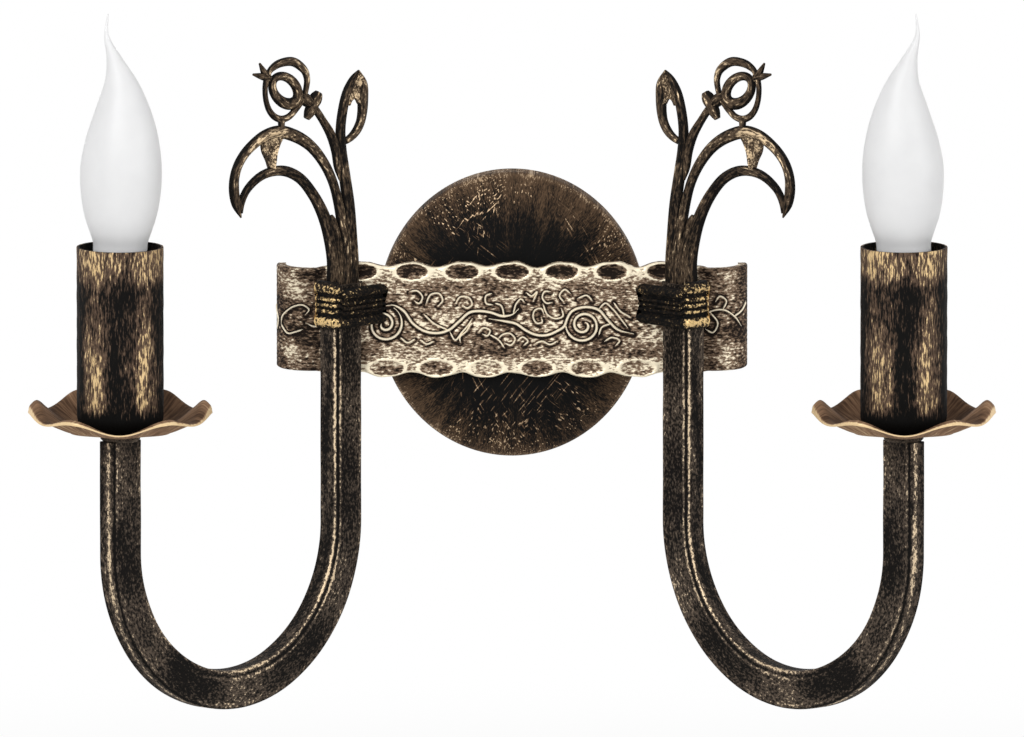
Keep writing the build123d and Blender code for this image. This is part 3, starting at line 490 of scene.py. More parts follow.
# the upper dents are painted dark inside, as shade, and the lower ones hardly, and all have a bright raised
# rim
for side, shift, dent_shade in ((1, 0.0, 0.42), (-1, 0.5, 0.02)):
    distance = dent_distance(run, height, side, shift)
    dent = np.clip(1 - distance ** 2, 0, 1) * inside_arms
    lift = lift - dent_depth * dent + dent_rim * bump(distance - 1.12, 0.16) * inside_arms
    near_edge = np.clip((side * height - 17.6) / 2.0, 0, 1) * inside_arms
    face_wear_and_light = face_wear_and_light + 0.12 * near_edge * (distance > 1)
    face_wear_and_light = face_wear_and_light + 0.34 * bump(distance - 1.1, 0.13) * inside_arms
    face_wear_and_light = face_wear_and_light - dent_shade * bump(distance, 0.97) * (distance < 1) * inside_arms
face_wear_and_light = face_wear_and_light - 0.1 * bump(np.abs(height) - 13.5, 2.6) * inside_arms
# each vine line sinks a groove a little below it, and the groove is painted dark as the line's shadow
for curves, strength in ((vine_curves, 1.0), (tendril_curves, 0.55)):
    nearest = np.full(height.shape, np.inf)
    for part in np.array_split(np.vstack(curves), 12):
        gap = np.hypot(run[..., None] - part[:, 0], height[..., None] + groove_shift - part[:, 1])
        nearest = np.minimum(nearest, gap.min(axis=-1))
    lift = lift - groove_depth * strength * bump(nearest - 1.0, 0.45)
    face_wear_and_light = face_wear_and_light - groove_shadow * strength * bump(nearest - 0.8, 0.5)
lift = lift + 0.07 * ripple(run, 5 * height, 2.2, 1)
# round the bar: its face, its lower edge, its back and its upper edge, each as lift and height
back_height = -lower + (upper + lower) * np.linspace(0, 1, 24)[None]
edge = np.linspace(0.25, 1, 4)[None]
under = np.stack([-edge * strap_thickness + 0 * run, -lower + 0 * edge], axis=-1)
over = np.stack([-edge[:, ::-1] * strap_thickness + 0 * run, upper + 0 * edge], axis=-1)
back = np.stack([-strap_thickness + 0 * back_height, back_height], axis=-1)[:, 1:-1]
loop = np.concatenate([np.stack([lift, height], axis=-1), under, back, over], axis=1)
strap_grid = on_strap(run, loop[..., 1], loop[..., 0])
rest_wear = np.full((strap_rows, loop.shape[1] - strap_columns), 0.3)
strap_wear_and_light = np.concatenate([face_wear_and_light, rest_wear], axis=1)
strap_finish = bronze("bronze_strap", strap_dark, strap_brown, strap_gold, stretch=(0.42, 0.42, 1.0),
                      grain=1150.0, patch=170.0, fleck=1.7, blotch=0.6, softness=0.13, relief=0.6)
piece("strap_bar", [shell(strap_grid, strap_wear_and_light)], strap_finish, "strap")


# Vine scroll: the raised lines that the rolls leave on the strap's face, in one piece with it and
# rubbed to pale gold along their tops. Stems and scrolls are thicker than the tendrils.
vine_width = 1.15
tendril_width = 0.75
vine_relief = 0.62          # lift of a line's top, as a share of its width
vine_taper = 9              # one over the share of a line's length in which it narrows
vine_gold = (250, 236, 208)


def raised_line(curve, width):
    """Half-round line on the strap's face: at each point of the curve a small ellipse across it,
    half sunk, narrowing towards both ends."""
    ahead = np.gradient(curve, axis=0)
    ahead /= np.hypot(*ahead.T)[:, None]
    part = np.linspace(0, 1, len(curve))
    taper = np.clip(np.minimum(part, 1 - part) * vine_taper, 0.25, 1)[:, None]
    turn = np.linspace(0, 2 * np.pi, 10, endpoint=False)[None]
    sideways = width / 2 * taper * np.cos(turn)
    lifted = vine_relief * width * taper * np.sin(turn)
    run = curve[:, :1] - ahead[:, 1:] * sideways
    height = curve[:, 1:] + ahead[:, :1] * sideways
    return shell(on_strap(run, height, lifted), 0.62 + 0.25 * np.sin(turn))


vine_finish = bronze("bronze_vine", strap_dark, strap_brown, vine_gold, grain=900.0, patch=150.0,
                     fleck=0.7, blotch=0.35)
vine_shells = [raised_line(curve, vine_width) for curve in vine_curves]
vine_shells += [raised_line(curve, tendril_width) for curve in tendril_curves]
piece("strap_vine", vine_shells, vine_finish)


# Arms: two U-bends of rectangular steel tube with broken corners, in planes turned 45 degrees
# outwards, each clamped on the strap by a collar. Their faces are near-black with scattered flecks,
# and along the corner that faces the room the finish is rubbed through to gold.
arm_section = 16.6
arm_thickness = 9.2
arm_wall = 1.3
arm_corner = 1.0
bore_corner = 0.5
arm_steps = 361
bore_step = 6               # every sixth section of the outside has one inside
# lines of the finish, by their distance from the corner that faces the room: over the wide face it
# counts up, and over the narrow face down
inner_gold_line = 0.1
inner_dark_line = 2.1
inner_second_gold_line = 3.5
outer_gold_line = -3.2
outer_dark_line = 0.3
outer_faint_line = 1.8
arm_dark = (11, 8, 6)
arm_brown = (92, 80, 69)
arm_gold = (222, 194, 154)

inner_top = box_of("arm_plug_left")[1][2]
inner_leg = np.mean(box_of("arm_plug_left"), axis=0)[:2]
candle = np.mean(box_of("lamp_nipple_left"), axis=0)[:2]
outer_top = box_of("pan_seat_left")[0][2]
arm_radius = np.hypot(*(candle - inner_leg)) / 2
arc_height = box_of("arm_left")[0][2] + arm_radius + arm_section / 2
outwards = (candle - inner_leg) / (2 * arm_radius)
across_arm = np.array([-outwards[1], outwards[0]])


def in_arm(reach, side, height):
    """Point of the left arm from its reach away from the inner leg, its side and its height."""
    plan = inner_leg + reach[..., None] * outwards + side[..., None] * across_arm
    return np.concatenate([plan, np.broadcast_to(height, reach.shape)[..., None]], axis=-1)


def rounded_rectangle(length, width, corner, long_count=26, short_count=16):
    """Outline of a rectangle with rounded corners: up its right side, round a corner, back along its
    top and round the next corner, and then the same turned by half a turn."""
    a, b = length / 2 - corner, width / 2 - corner
    quarter = np.linspace(0, np.pi / 2, 6)[1:-1]
    arc = corner * np.stack([np.cos(quarter), np.sin(quarter)], axis=-1)
    right = np.stack([np.full(short_count, a + corner), np.linspace(-b, b, short_count)], axis=-1)
    top = np.stack([np.linspace(a, -a, long_count), np.full(long_count, b + corner)], axis=-1)
    half = np.vstack([right, arc + (a, b), top, arc[:, ::-1] * (-1, 1) + (-a, b)])
    return np.vstack([half, -half])


def u_bend(run, towards, side):
    """Place on the U from the run along its centre line: down the inner leg, half a circle round,
    up the outer leg. `towards` is how far the point lies on the inner side of the bend."""
    down = inner_top - arc_height
    angle = np.clip((run - down) / arm_radius, 0, np.pi)
    rise = np.maximum(run - down - np.pi * arm_radius, 0)
    reach = arm_radius - (arm_radius - towards) * np.cos(angle)
    height = arc_height - (arm_radius - towards) * np.sin(angle) + np.maximum(down - run, 0) + rise
    return in_arm(reach, side + 0 * reach, height)


arm_run = (inner_top - arc_height) + np.pi * arm_radius + (outer_top - arc_height)
run = np.linspace(0, arm_run, arm_steps)[:, None]
outline = rounded_rectangle(arm_section, arm_thickness, arm_corner)
towards, side = outline[:, 0][None], outline[:, 1][None]
# distance from the corner that faces the room, on the inner and on the outer leg
from_inner = (arm_section / 2 - towards) - (arm_thickness / 2 - side)
from_outer = (arm_section / 2 + towards) - (arm_thickness / 2 - side)
outer_share = np.clip((run - (inner_top - arc_height)) / (np.pi * arm_radius), 0, 1)
outer_share = outer_share ** 2 * (3 - 2 * outer_share)
# on the inner leg that corner and a line beside it are gold, with a dark line between them; on the
# outer leg the narrow face is gold next to a dark corner; and the far edges are a little worn
inner_lines = 0.5 * bump(from_inner - inner_gold_line, 1.0) - 0.35 * bump(from_inner - inner_dark_line, 0.6)
inner_lines = inner_lines + 0.42 * bump(from_inner - inner_second_gold_line, 0.6)
inner_lines = inner_lines + 0.17 * bump(from_inner - arm_section, 2.2)
outer_lines = 0.42 * bump(from_outer - outer_gold_line, 1.5) - 0.4 * bump(from_outer - outer_dark_line, 0.6)
outer_lines = outer_lines + 0.16 * bump(from_outer - outer_faint_line, 0.8)
outer_lines = outer_lines + 0.17 * bump(from_outer - arm_section, 2.2)
arm_wear = 0.12 + (1 - outer_share) * inner_lines + outer_share * outer_lines
arm_wear = arm_wear + 0.13 * ripple(run, 9 * side + towards, 11.0, 5)
uneven = 1 + 0.01 * ripple(run, 4 * towards + 6 * side, 7.0, 3)
dark_line_groove = 0.06 * (1 - outer_share) * bump(from_inner - inner_dark_line, 0.6)
dented = 1 + 0.02 * ripple(run, 5 * towards, 6.0, 8) - dark_line_groove
skin = u_bend(run, towards * uneven, side * dented)
bore_outline = rounded_rectangle(arm_section - 2 * arm_wall, arm_thickness - 2 * arm_wall, bore_corner)
bore_run = run[::-bore_step]
bore = u_bend(bore_run, bore_outline[:, 0][None], bore_outline[:, 1][None])
arm_grid = np.concatenate([skin, bore])
arm_wear = np.concatenate([arm_wear, np.full((len(bore_run), len(outline)), 0.1)])
length_way = np.concatenate([run, bore_run]) + 0 * arm_wear
arm_place = np.stack([towards + 0 * length_way, side + 0 * length_way, 0.6 * length_way], axis=-1)
arm_finish = bronze("bronze_arm", arm_dark, arm_brown, arm_gold, grain=1150.0, patch=110.0, fleck=1.5,
                    blotch=0.45, softness=0.07, relief=0.6)
arm_shell = shell(arm_grid, arm_wear, arm_place, ring=True)
# of these and the other paired pieces, the right one is the left one mirrored
sides = {"left": False, "right": True}
for side_name, mirrored in sides.items():
    piece(f"arm_tube_{side_name}", [arm_shell], arm_finish, f"arm_{side_name}",
          mirrored=mirrored, crease=25)


# Collars: angle-shaped castings that wrap each arm's front corner and run back to the strap, with a
# roll at the top and the bottom and three beads between. They are near-black, and gold shows on the
# rolls and beads of the narrow front; painted glints brighten the rolls and beads near the corner.
collar_gap = 0.1
collar_plate = 1.5
collar_roll = 2.7           # half height of the roll at each end
collar_roll_reach = 2.3
collar_end_plate = 0.9      # at the very top and bottom edge
collar_bead = 1.0
collar_bead_pitch = 2.6
collar_proud = 1.4          # above the plate, from where metal is fully rubbed
wing_drop = 0.17            # how much lower the wing on the strap is, as a share
wing_drop_run = 3.0
collar_dark = (5, 6, 7)
collar_brown = (50, 40, 30)
collar_gold = (222, 182, 106)

collar_low, collar_high = box_of("collar_left")
collar_height = collar_high[2] - collar_low[2]
level = np.linspace(0, collar_height, 110)


def swell(centre, reach, half, base):
    """Outline of a roll or bead on the plate: half an ellipse over the height."""
    share = np.clip(1 - ((level - centre) / half) ** 2, 0, 1)
    return np.where(share > 0, base + reach * np.sqrt(share), 0)


bulge = np.full(level.shape, collar_plate)
for centre in (collar_roll, collar_height - collar_roll):
    bulge = np.maximum(bulge, swell(centre, collar_roll_reach, collar_roll, 0.6 * collar_plate))
for centre in collar_height / 2 + collar_bead_pitch * np.array([-1, 0, 1]):
    bulge = np.maximum(bulge, swell(centre, collar_bead, collar_bead, collar_plate))
# the rolls end in a thin edge at the top and the bottom
near_end = (np.abs(level - collar_height / 2) - collar_height / 2 + collar_roll) / collar_roll
bulge = np.minimum(bulge, collar_end_plate + collar_roll_reach * np.sqrt(np.clip(1 - near_end, 0, 1)))
collar_front = arm_section / 2 + collar_gap
collar_side = arm_thickness / 2 + collar_gap
corner_turn = np.radians(np.linspace(0, 90, 9))
wing_steps = np.linspace(1, 0, 26)[:-1]
# the strap's face, where the wing ends, runs at 45 degrees to the arm
collar_limit = -np.sqrt(2) * (-inner_leg[1] - strap_front - collar_gap)
front_across = collar_side - wing_steps * (collar_side + arm_thickness / 2)
side_reach = collar_front + wing_steps[::-1] * (collar_limit - collar_side - collar_front)
front_wing = np.stack([collar_front + 0 * front_across, front_across], axis=-1)
side_wing = np.stack([side_reach, collar_side + 0 * side_reach], axis=-1)
corner_points = np.repeat([[collar_front, collar_side]], len(corner_turn), axis=0)
collar_path = np.vstack([front_wing, corner_points, side_wing])
heading = np.concatenate([0 * wing_steps, corner_turn, np.pi / 2 + 0 * wing_steps])
outside = np.stack([np.cos(heading), np.sin(heading)], axis=-1)
# a section of the casting: up its bulging outside and down its flat inside
inside_level = np.linspace(collar_height, 0, 20)
offset = np.concatenate([bulge, 0 * inside_level])
loop_level = np.concatenate([level, inside_level])
collar_reach = collar_path[:, :1] + outside[:, :1] * offset[None]
collar_across = collar_path[:, 1:] + outside[:, 1:] * offset[None]
collar_reach[-1] = collar_limit - collar_across[-1]
past_corner = np.clip((collar_front - collar_path[:, :1] - 1) / wing_drop_run, 0, 1)
collar_rise = loop_level[None] * (1 - wing_drop * past_corner ** 2 * (3 - 2 * past_corner))
collar_grid = in_arm(collar_reach, collar_across, collar_low[2] + collar_rise)
# what stands proud is rubbed most on the front below the top bead and little on the wing, painted
# glints brighten it near the corner, and a bright line runs along the front's free edge
proud = np.clip((offset - collar_plate) / collar_proud, 0, 1)[None]
from_corner = np.hypot(collar_path[:, 0] - collar_front, collar_path[:, 1] - collar_side)[:, None]
on_front = (collar_path[:, 0] > collar_front - 0.01)[:, None]
low_beads = np.where(loop_level < 0.72 * collar_height, 1.0, 0.35)[None]
free_edge = on_front * bump(collar_path[:, 1:] + arm_thickness / 2 - 0.2, 0.45)
shine = 0.32 * on_front * low_beads + 0.14 * bump(from_corner - 3, 6.0) + 0.1
collar_wear_and_glints = 0.07 + proud * shine + 0.4 * free_edge
collar_wear_and_glints = collar_wear_and_glints + 0.08 * ripple(3 * collar_reach, 3 * collar_rise, 9.0, 2) * (1 - on_front)
collar_finish = bronze("bronze_collar", collar_dark, collar_brown, collar_gold, grain=900.0,
                       patch=140.0, fleck=1.9, blotch=0.6, softness=0.06, relief=0.5)
for side_name, mirrored in sides.items():
    piece(f"collar_casting_{side_name}", [shell(collar_grid, collar_wear_and_glints)], collar_finish,
          f"collar_{side_name}", mirrored=mirrored)


# Sprigs: one casting for each arm, set on the top of its inner leg, of bundled stems that end in a
# pointed leaf, an open bud and a crescent leaf. The stems are ridged, with dark sides and gold
# lines along the ridges.
sprig_thickness = 4.4
sprig_overlap = 1.8         # of the stems' feet below the top of the leg
rod_sides = 32
blade_rings = 9
heart_half_length = 8.5
heart_half_height = 5.2
heart_centre = (33.4, 104.3)
heart_tilt = np.radians(32)
heart_width = 4.5
heart_swell = 0.8           # how much wider its ring is on one side and narrower on the other
heart_wide_side = np.radians(201)
sprig_dark = (12, 9, 7)
sprig_brown = (92, 76, 60)
sprig_gold = (222, 190, 144)
sprig_foot = inner_top - sprig_overlap


def rod(rows, count, thickness=sprig_thickness, closed=False, shine=0.0, brightest=0.5, spread=9.0):
    """Cast stem in the arm's plane through rows of reach, height and width. Its section is an
    ellipse with a low ridge along the front and the back, and gold lines run along its shoulders.
    `shine` adds wear that falls off by `spread` from the `brightest` share of its length."""
    reach, height, width = smooth(rows, count, closed).T[:, :, None]
    ahead = np.stack([np.gradient(reach[:, 0]), np.gradient(height[:, 0])])
    if closed:
        around = np.stack([reach[:, 0], height[:, 0]])
        ahead = np.roll(around, -1, axis=1) - np.roll(around, 1, axis=1)
    ahead = (ahead / np.hypot(*ahead))[:, :, None]
    turn = np.linspace(0, 2 * np.pi, rod_sides, endpoint=False)[None]
    wide = np.cos(turn) * width / 2
    ridge = bump(np.cos(turn), 0.25)
    deep = np.sin(turn) * np.minimum(thickness, width) / 2 * (0.82 + 0.18 * ridge)
    grid = in_arm(reach - ahead[1] * wide, deep, height + ahead[0] * wide)
    along = np.cumsum(np.hypot(np.gradient(reach[:, 0]), np.gradient(height[:, 0])))[:, None]
    bright = shine * bump(along / along[-1] - brightest, spread)
    worn = 0.02 + (0.2 + bright) * bump(np.cos(turn), 0.6) + 0.24 * bump(np.abs(np.cos(turn)) - 0.62, 0.12)
    worn = worn + 0.13 * ripple(along, 4 * turn, 5.0, count) - 0.15 * bump(np.abs(np.cos(turn)) - 1, 0.2)
    place = np.stack(np.broadcast_arrays(wide, 3 * np.sin(turn), 0.3 * along + count), axis=-1)
    return shell(grid, worn, place, ring=closed)


def web(outline, thickness, cup):
    """Thin leaf blade inside a smooth outline: rings that shrink to its middle, front and back, and
    the front dips by `cup` towards the middle."""
    rim = smooth(outline, 72, closed=True)
    middle = rim.mean(axis=0)
    outwards_part = np.linspace(0.05, 1, blade_rings)
    part = np.concatenate([outwards_part, outwards_part[::-1]])[:, None]
    reach = middle[0] + part * (rim[:, 0] - middle[0])
    height = middle[1] + part * (rim[:, 1] - middle[1])
    front = np.arange(len(part))[:, None] < blade_rings
    deep = np.where(front, thickness / 2 - cup * (1 - part ** 2), -thickness / 2) + 0 * reach
    worn = np.where(front, 0.4 + 0.14 * ripple(reach, height, 1.3, 2), 0.2)
    return shell(in_arm(reach, deep, height), worn)


# rows of reach, height and width along each stem, and of reach and height round each blade
leaf_stem = [(-6.9, sprig_foot, 7.0), (-7.1, 23.5, 7.0), (-6.1, 36.4, 7.0), (-4.7, 50.9, 6.6),
             (-2.0, 65.6, 6.0), (-0.3, 75.1, 5.6), (0.1, 83.2, 5.0), (-1.2, 91.8, 4.8),
             (-4.1, 100.1, 4.4), (-8.1, 105.8, 2.8), (-10.9, 108.4, 0.8)]
leaf_edge = [(-10.9, 108.4, 0.8), (-13.6, 102.4, 4.0), (-13.4, 95.8, 5.6), (-13.0, 90.0, 4.9),
             (-12.0, 86.2, 4.4), (-10.0, 83.0, 4.2), (-6.6, 80.2, 3.6), (-3.0, 78.6, 3.0)]
leaf_blade = [(-10.9, 107.4), (-7.4, 103.4), (-5.0, 99.6), (-3.6, 95.6), (-4.4, 93.8), (-6.0, 95.9),
              (-8.0, 96.7), (-9.8, 95.7), (-11.4, 93.6), (-13.2, 94.6), (-14.2, 98.0), (-13.8, 102.4)]
bud_stem = [(0.6, 62.0, 0.8), (1.8, 67.0, 3.2), (3.0, 75.0, 4.4), (5.6, 81.6, 4.4), (10.6, 88.6, 3.6),
            (16.2, 95.2, 3.4), (19.6, 98.4, 3.0)]
bud_calyx = [(13.2, 101.0, 4.0), (14.8, 99.0, 6.4), (17.0, 96.0, 5.6), (19.0, 93.0, 5.2), (20.5, 90.8, 3.2)]
bud_neck = [(18.0, 96.6, 3.4), (20.2, 98.3, 5.6), (22.6, 100.0, 4.8), (24.4, 101.2, 2.8)]
bud_upper = [(44.2, 109.6, 2.6), (43.0, 113.0, 2.6), (39.2, 115.4, 3.4), (34.0, 116.4, 3.8),
             (28.7, 116.0, 4.0), (24.4, 113.8, 3.9), (21.2, 110.7, 3.4), (20.2, 107.3, 3.0),
             (20.7, 104.0, 2.8), (22.2, 99.8, 2.8)]
bud_lower = [(44.4, 111.6, 2.8), (45.4, 106.0, 2.6), (44.8, 100.7, 2.6), (43.0, 96.6, 2.8),
             (39.6, 93.3, 3.0), (35.4, 91.9, 3.1), (31.4, 92.5, 3.0), (27.5, 95.0, 3.0), (22.2, 99.8, 2.8)]
bud_long_prong = [(43.0, 110.5, 4.0), (47.5, 111.6, 3.0), (52.6, 112.9, 1.0)]
bud_short_prong = [(43.2, 110.0, 3.8), (46.2, 113.5, 3.0), (48.7, 117.3, 1.0)]
bud_link = [(35.6, 85.8, 4.6), (35.6, 88.8, 3.4), (35.6, 92.4, 4.4)]
crescent_upper = [(-2.3, sprig_foot, 5.6), (-2.8, 25.6, 5.4), (-2.6, 36.6, 5.2), (-0.2, 45.5, 5.0),
                  (1.8, 53.3, 4.6), (4.0, 59.9, 4.4), (10.1, 70.4, 4.8), (19.4, 79.5, 5.2),
                  (28.3, 84.2, 5.6), (37.2, 86.6, 5.6), (46.1, 85.6, 5.2), (52.4, 82.8, 4.8),
                  (57.9, 79.0, 4.5), (61.7, 74.6, 4.5), (63.8, 69.4, 4.8), (64.1, 64.0, 5.2),
                  (62.8, 58.0, 4.4), (59.9, 51.9, 0.8)]
crescent_lower = [(4.6, sprig_foot, 7.8), (4.1, 27.9, 8.0), (6.2, 37.5, 7.4), (10.4, 47.8, 6.2),
                  (17.0, 57.8, 5.2), (25.1, 65.6, 4.8), (34.0, 69.4, 4.6), (42.1, 69.8, 4.2),
                  (47.6, 68.7, 4.0), (52.8, 66.2, 3.8), (57.2, 62.6, 3.6), (59.8, 58.0, 3.4),
                  (60.2, 53.8, 2.2)]
bundle_stem = [(0.8, sprig_foot, 6.0), (1.0, 28.0, 6.0), (2.8, 37.5, 5.4), (4.4, 43.0, 4.4),
               (5.2, 45.8, 3.2), (5.7, 47.4, 1.4)]
crescent_tongue = [(46.6, 84.2), (43.4, 86.4), (39.4, 87.0), (34.6, 85.8), (37.4, 81.6), (39.2, 77.6),
                   (40.0, 73.4), (41.4, 69.4), (44.0, 74.6), (46.6, 79.6)]
# the heart of the bud is a ring: a tilted ellipse whose width swells to one side
heart_turn = np.radians(np.arange(0, 360, 20))
heart_long = heart_half_length * np.cos(heart_turn)
heart_short = heart_half_height * np.sin(heart_turn)
heart_reach = heart_centre[0] + heart_long * np.cos(heart_tilt) - heart_short * np.sin(heart_tilt)
heart_level = heart_centre[1] + heart_long * np.sin(heart_tilt) + heart_short * np.cos(heart_tilt)
heart_widths = heart_width + heart_swell * np.cos(heart_turn - heart_wide_side)
heart_rows = np.stack([heart_reach, heart_level, heart_widths], axis=-1)
leaf_shells = [rod(leaf_stem, 130), rod(leaf_edge, 60, shine=0.1), web(leaf_blade, 2.6, 0.7)]
bud_shells = [rod(bud_stem, 60), rod(bud_calyx, 24, 5.6, shine=0.1), rod(bud_neck, 24, 5.6),
              rod(bud_upper, 80, 3.4, shine=0.14), rod(bud_lower, 80, 3.2, shine=0.06),
              rod(bud_long_prong, 24, 3.6), rod(bud_short_prong, 24, 3.6), rod(bud_link, 16, 3.0),
              rod(heart_rows, 90, 4.0, closed=True, shine=0.16)]
crescent_shells = [rod(crescent_upper, 200, shine=0.3, brightest=0.74, spread=0.2),
                   rod(crescent_lower, 160), rod(bundle_stem, 50, 3.6), web(crescent_tongue, 3.0, 0.9)]
sprig_shells = leaf_shells + bud_shells + crescent_shells
sprig_finish = bronze("bronze_sprig", sprig_dark, sprig_brown, sprig_gold, grain=1100.0, patch=160.0,
                      fleck=1.5, blotch=0.5, softness=0.09, relief=0.5)
for side_name, mirrored in sides.items():
    piece(f"sprig_casting_{side_name}", sprig_shells, sprig_finish, f"sprig_{side_name}",
          mirrored=mirrored)


# Drip pans: dishes of 1 mm steel sheet, pressed into six deep waves with a drooping lip, each held
# on its arm by the nut of the lamp's nipple. They are brown, brushed outwards from the middle, with
# a gold lip.
pan_sheet = 1.0
pan_waves = 6
pan_flat_radius = 13.0
pan_hole_gap = 0.3
pan_lip_bevel = 0.4         # how much thinner the sheet is at the lip
pan_side_lift = 2.2         # of the two hollows beside the front one
pan_side_turn = 1.05        # how far they lie from the front, in radians
pan_rear_lift = 3.0         # of the two hollows behind those
pan_rear_turn = 2.09
pan_scallop = 0.05          # how much the outline draws in between two crests
brush_circle = 40.0         # radius at which the brushing has its true width
brush_stretch = 0.12
room_side = 1.5 * np.pi     # the angle round a candle that looks into the room
pan_brown = (144, 112, 86)
pan_dark = (66, 47, 34)
pan_gold = (228, 194, 140)

pan_low, pan_high = box_of("drip_pan_left")
pan_radius = (pan_high[0] - pan_low[0]) / 2
pan_bottom = pan_low[2]
nipple_low, nipple_high = box_of("lamp_nipple_left")
hole_radius = (nipple_high[0] - nipple_low[0]) / 2 + pan_hole_gap
# share of the way from the flat to the lip, mean rise there, and sway of the waves: round most of
# the pan, where the lip droops, and towards the room, where it does not and the waves are shallower
pan_rise = [(0.0, 0.0, 0.0), (0.18, 0.5, 0.3), (0.45, 3.2, 1.6), (0.72, 7.2, 3.4), (0.88, 9.2, 4.3),
            (0.96, 8.0, 3.6), (1.0, 5.8, 2.4)]
pan_front_rise = [(0.0, 0.0, 0.0), (0.18, 0.4, 0.2), (0.45, 2.4, 1.0), (0.72, 4.4, 1.7), (0.88, 5.2, 1.9),
                  (0.96, 5.5, 1.9), (1.0, 5.6, 1.9)]


def at_candle(radius, angles, height):
    """Point round the left candle's axis from radius, angle and height."""
    x = candle[0] + radius * np.cos(angles)
    y = candle[1] + radius * np.sin(angles)
    return np.stack(np.broadcast_arrays(x, y, height), axis=-1)


angles = np.linspace(0, 2 * np.pi, 288, endpoint=False)[None]
stations = smooth(pan_rise, 56)
flat_steps = np.linspace(hole_radius, pan_flat_radius, 8)[:-1]
lip_steps = pan_flat_radius + stations[:, 0] * (pan_radius - pan_flat_radius)
reach = np.concatenate([flat_steps, lip_steps])[:, None]
pan_share = np.concatenate([0 * flat_steps, stations[:, 0]])[:, None]
mean, sway = (np.interp(pan_share, stations[:, 0], stations[:, k]) for k in (1, 2))
front_mean, front_sway = (np.interp(pan_share, *np.array(pan_front_rise)[:, [0, k]].T) for k in (1, 2))
away = np.abs((angles - room_side + np.pi) % (2 * np.pi) - np.pi)
in_front = bump(away, 0.95)
side_lift = pan_side_lift * bump(away - pan_side_turn, 0.35) * pan_share ** 2
rear_lift = pan_rear_lift * bump(away - pan_rear_turn, 0.3) * pan_share ** 2
rise = mean + in_front * (front_mean - mean) + side_lift + rear_lift
rise = rise + (sway + in_front * (front_sway - sway)) * np.cos(pan_waves * angles)
rise = rise + 0.1 * sway * ripple(reach, 40 * np.sin(angles), 13.0, 6)
reach = reach * (1 - pan_scallop * np.abs(np.sin(pan_waves / 2 * angles)) ** 0.8 * pan_share ** 2)
top_side = at_candle(reach, angles, pan_bottom + pan_sheet + rise)
under_side = at_candle(reach, angles, pan_bottom + rise + pan_lip_bevel * pan_share ** 8)[::-1]
top_wear = 0.2 + 0.5 * bump(pan_share - 1.0, 0.02) + 0.12 * np.cos(pan_waves * angles) * pan_share
under_wear = 0.34 + 0.4 * bump(pan_share - 1.0, 0.04) + 0 * angles
pan_grid = np.concatenate([top_side, under_side])
pan_wear = np.concatenate([top_wear, under_wear[::-1]])
brush = np.concatenate([at_candle(brush_circle + 0 * reach, angles, brush_stretch * reach)] * 2)
pan_finish = bronze("bronze_pan", pan_dark, pan_brown, pan_gold, grain=800.0, patch=90.0, fleck=0.75,
                    blotch=0.45, softness=0.16, relief=0.2)
pan_shell = shell(pan_grid, pan_wear, brush, ring=True)
for side_name, mirrored in sides.items():
    piece(f"drip_pan_dish_{side_name}", [pan_shell], pan_finish, f"drip_pan_{side_name}",
          mirrored=mirrored)


# Candle sleeves: drawn steel tubes with a rounded bottom and an open top, which stand in the pans
# round the lampholders. The lacquer is rubbed off in streaks along the tube and all round the top
# edge, and hardly at all near the bottom.
sleeve_wall = 1.2
sleeve_corner = 7.3
sleeve_streaks = 5          # flanks round the tube that are rubbed more
sleeve_stretch = 0.2        # of the finish along the tube
sleeve_dimples = 0.1        # depth of the unevenness of its wall
sleeve_dark = (9, 8, 7)
sleeve_brown = (104, 84, 69)
sleeve_gold = (220, 182, 116)

sleeve_low, sleeve_high = box_of("candle_sleeve_left")
sleeve_radius = (sleeve_high[0] - sleeve_low[0]) / 2


def cup(outer, bottom, corner, top):
    """Half section of a cup from the hole in its bottom to its top: a flat, a quarter circle and a
    straight side."""
    flat = np.linspace(hole_radius, outer - corner, 6)[:-1]
    quarter = np.linspace(-np.pi / 2, 0, 14)
    side = np.linspace(bottom + corner, top, 71)[1:]
    radius = np.concatenate([flat, outer - corner + corner * np.cos(quarter), outer + 0 * side])
    height = np.concatenate([bottom + 0 * flat, bottom + corner + corner * np.sin(quarter), side])
    return radius, height


sleeve_bottom, sleeve_top = sleeve_low[2], sleeve_high[2]
out_radius, out_height = cup(sleeve_radius, sleeve_bottom, sleeve_corner, sleeve_top)
in_radius, in_height = cup(sleeve_radius - sleeve_wall, sleeve_bottom + sleeve_wall,
                           sleeve_corner - sleeve_wall, sleeve_top)
angles = np.linspace(0, 2 * np.pi, 160, endpoint=False)[None]
radius = np.concatenate([out_radius, in_radius[::-1]])[:, None]
height = np.concatenate([out_height, in_height[::-1]])[:, None]
outer_skin = np.concatenate([1 + 0 * out_radius, 0 * in_radius])[:, None]
dimples = ripple(60 * np.sin(angles) + 40 * np.cos(angles), height, 2.2, 3) - 1
sleeve_grid = at_candle(radius + sleeve_dimples * outer_skin * dimples, angles, height)
# the flanks are rubbed most over the lower part, the top all round, and the bottom not at all
up = (height - sleeve_bottom) / (sleeve_top - sleeve_bottom)
flank = 0.5 - 0.5 * np.cos(sleeve_streaks * (angles - room_side))
low_part = np.clip((up - 0.09) / 0.06, 0, 1) * np.clip((0.72 - up) / 0.2, 0, 1)
sleeve_wear = 0.34 * flank * low_part + 0.14 * flank - 0.05 - 0.35 * np.clip((0.13 - up) / 0.07, 0, 1)
sleeve_wear = sleeve_wear + 0.36 * np.clip((up - 0.78) / 0.1, 0, 1) + 0.12 * bump(up - 0.72, 0.1) * flank
sleeve_wear = np.where(outer_skin > 0, sleeve_wear, 0.02) + 0 * angles
sleeve_place = at_candle(sleeve_radius, angles, sleeve_stretch * height)
sleeve_finish = bronze("bronze_sleeve", sleeve_dark, sleeve_brown, sleeve_gold, grain=1250.0,
                       patch=170.0, fleck=1.7, blotch=0.6, softness=0.08, relief=0.6)
sleeve_shell = shell(sleeve_grid, sleeve_wear, sleeve_place, ring=True)
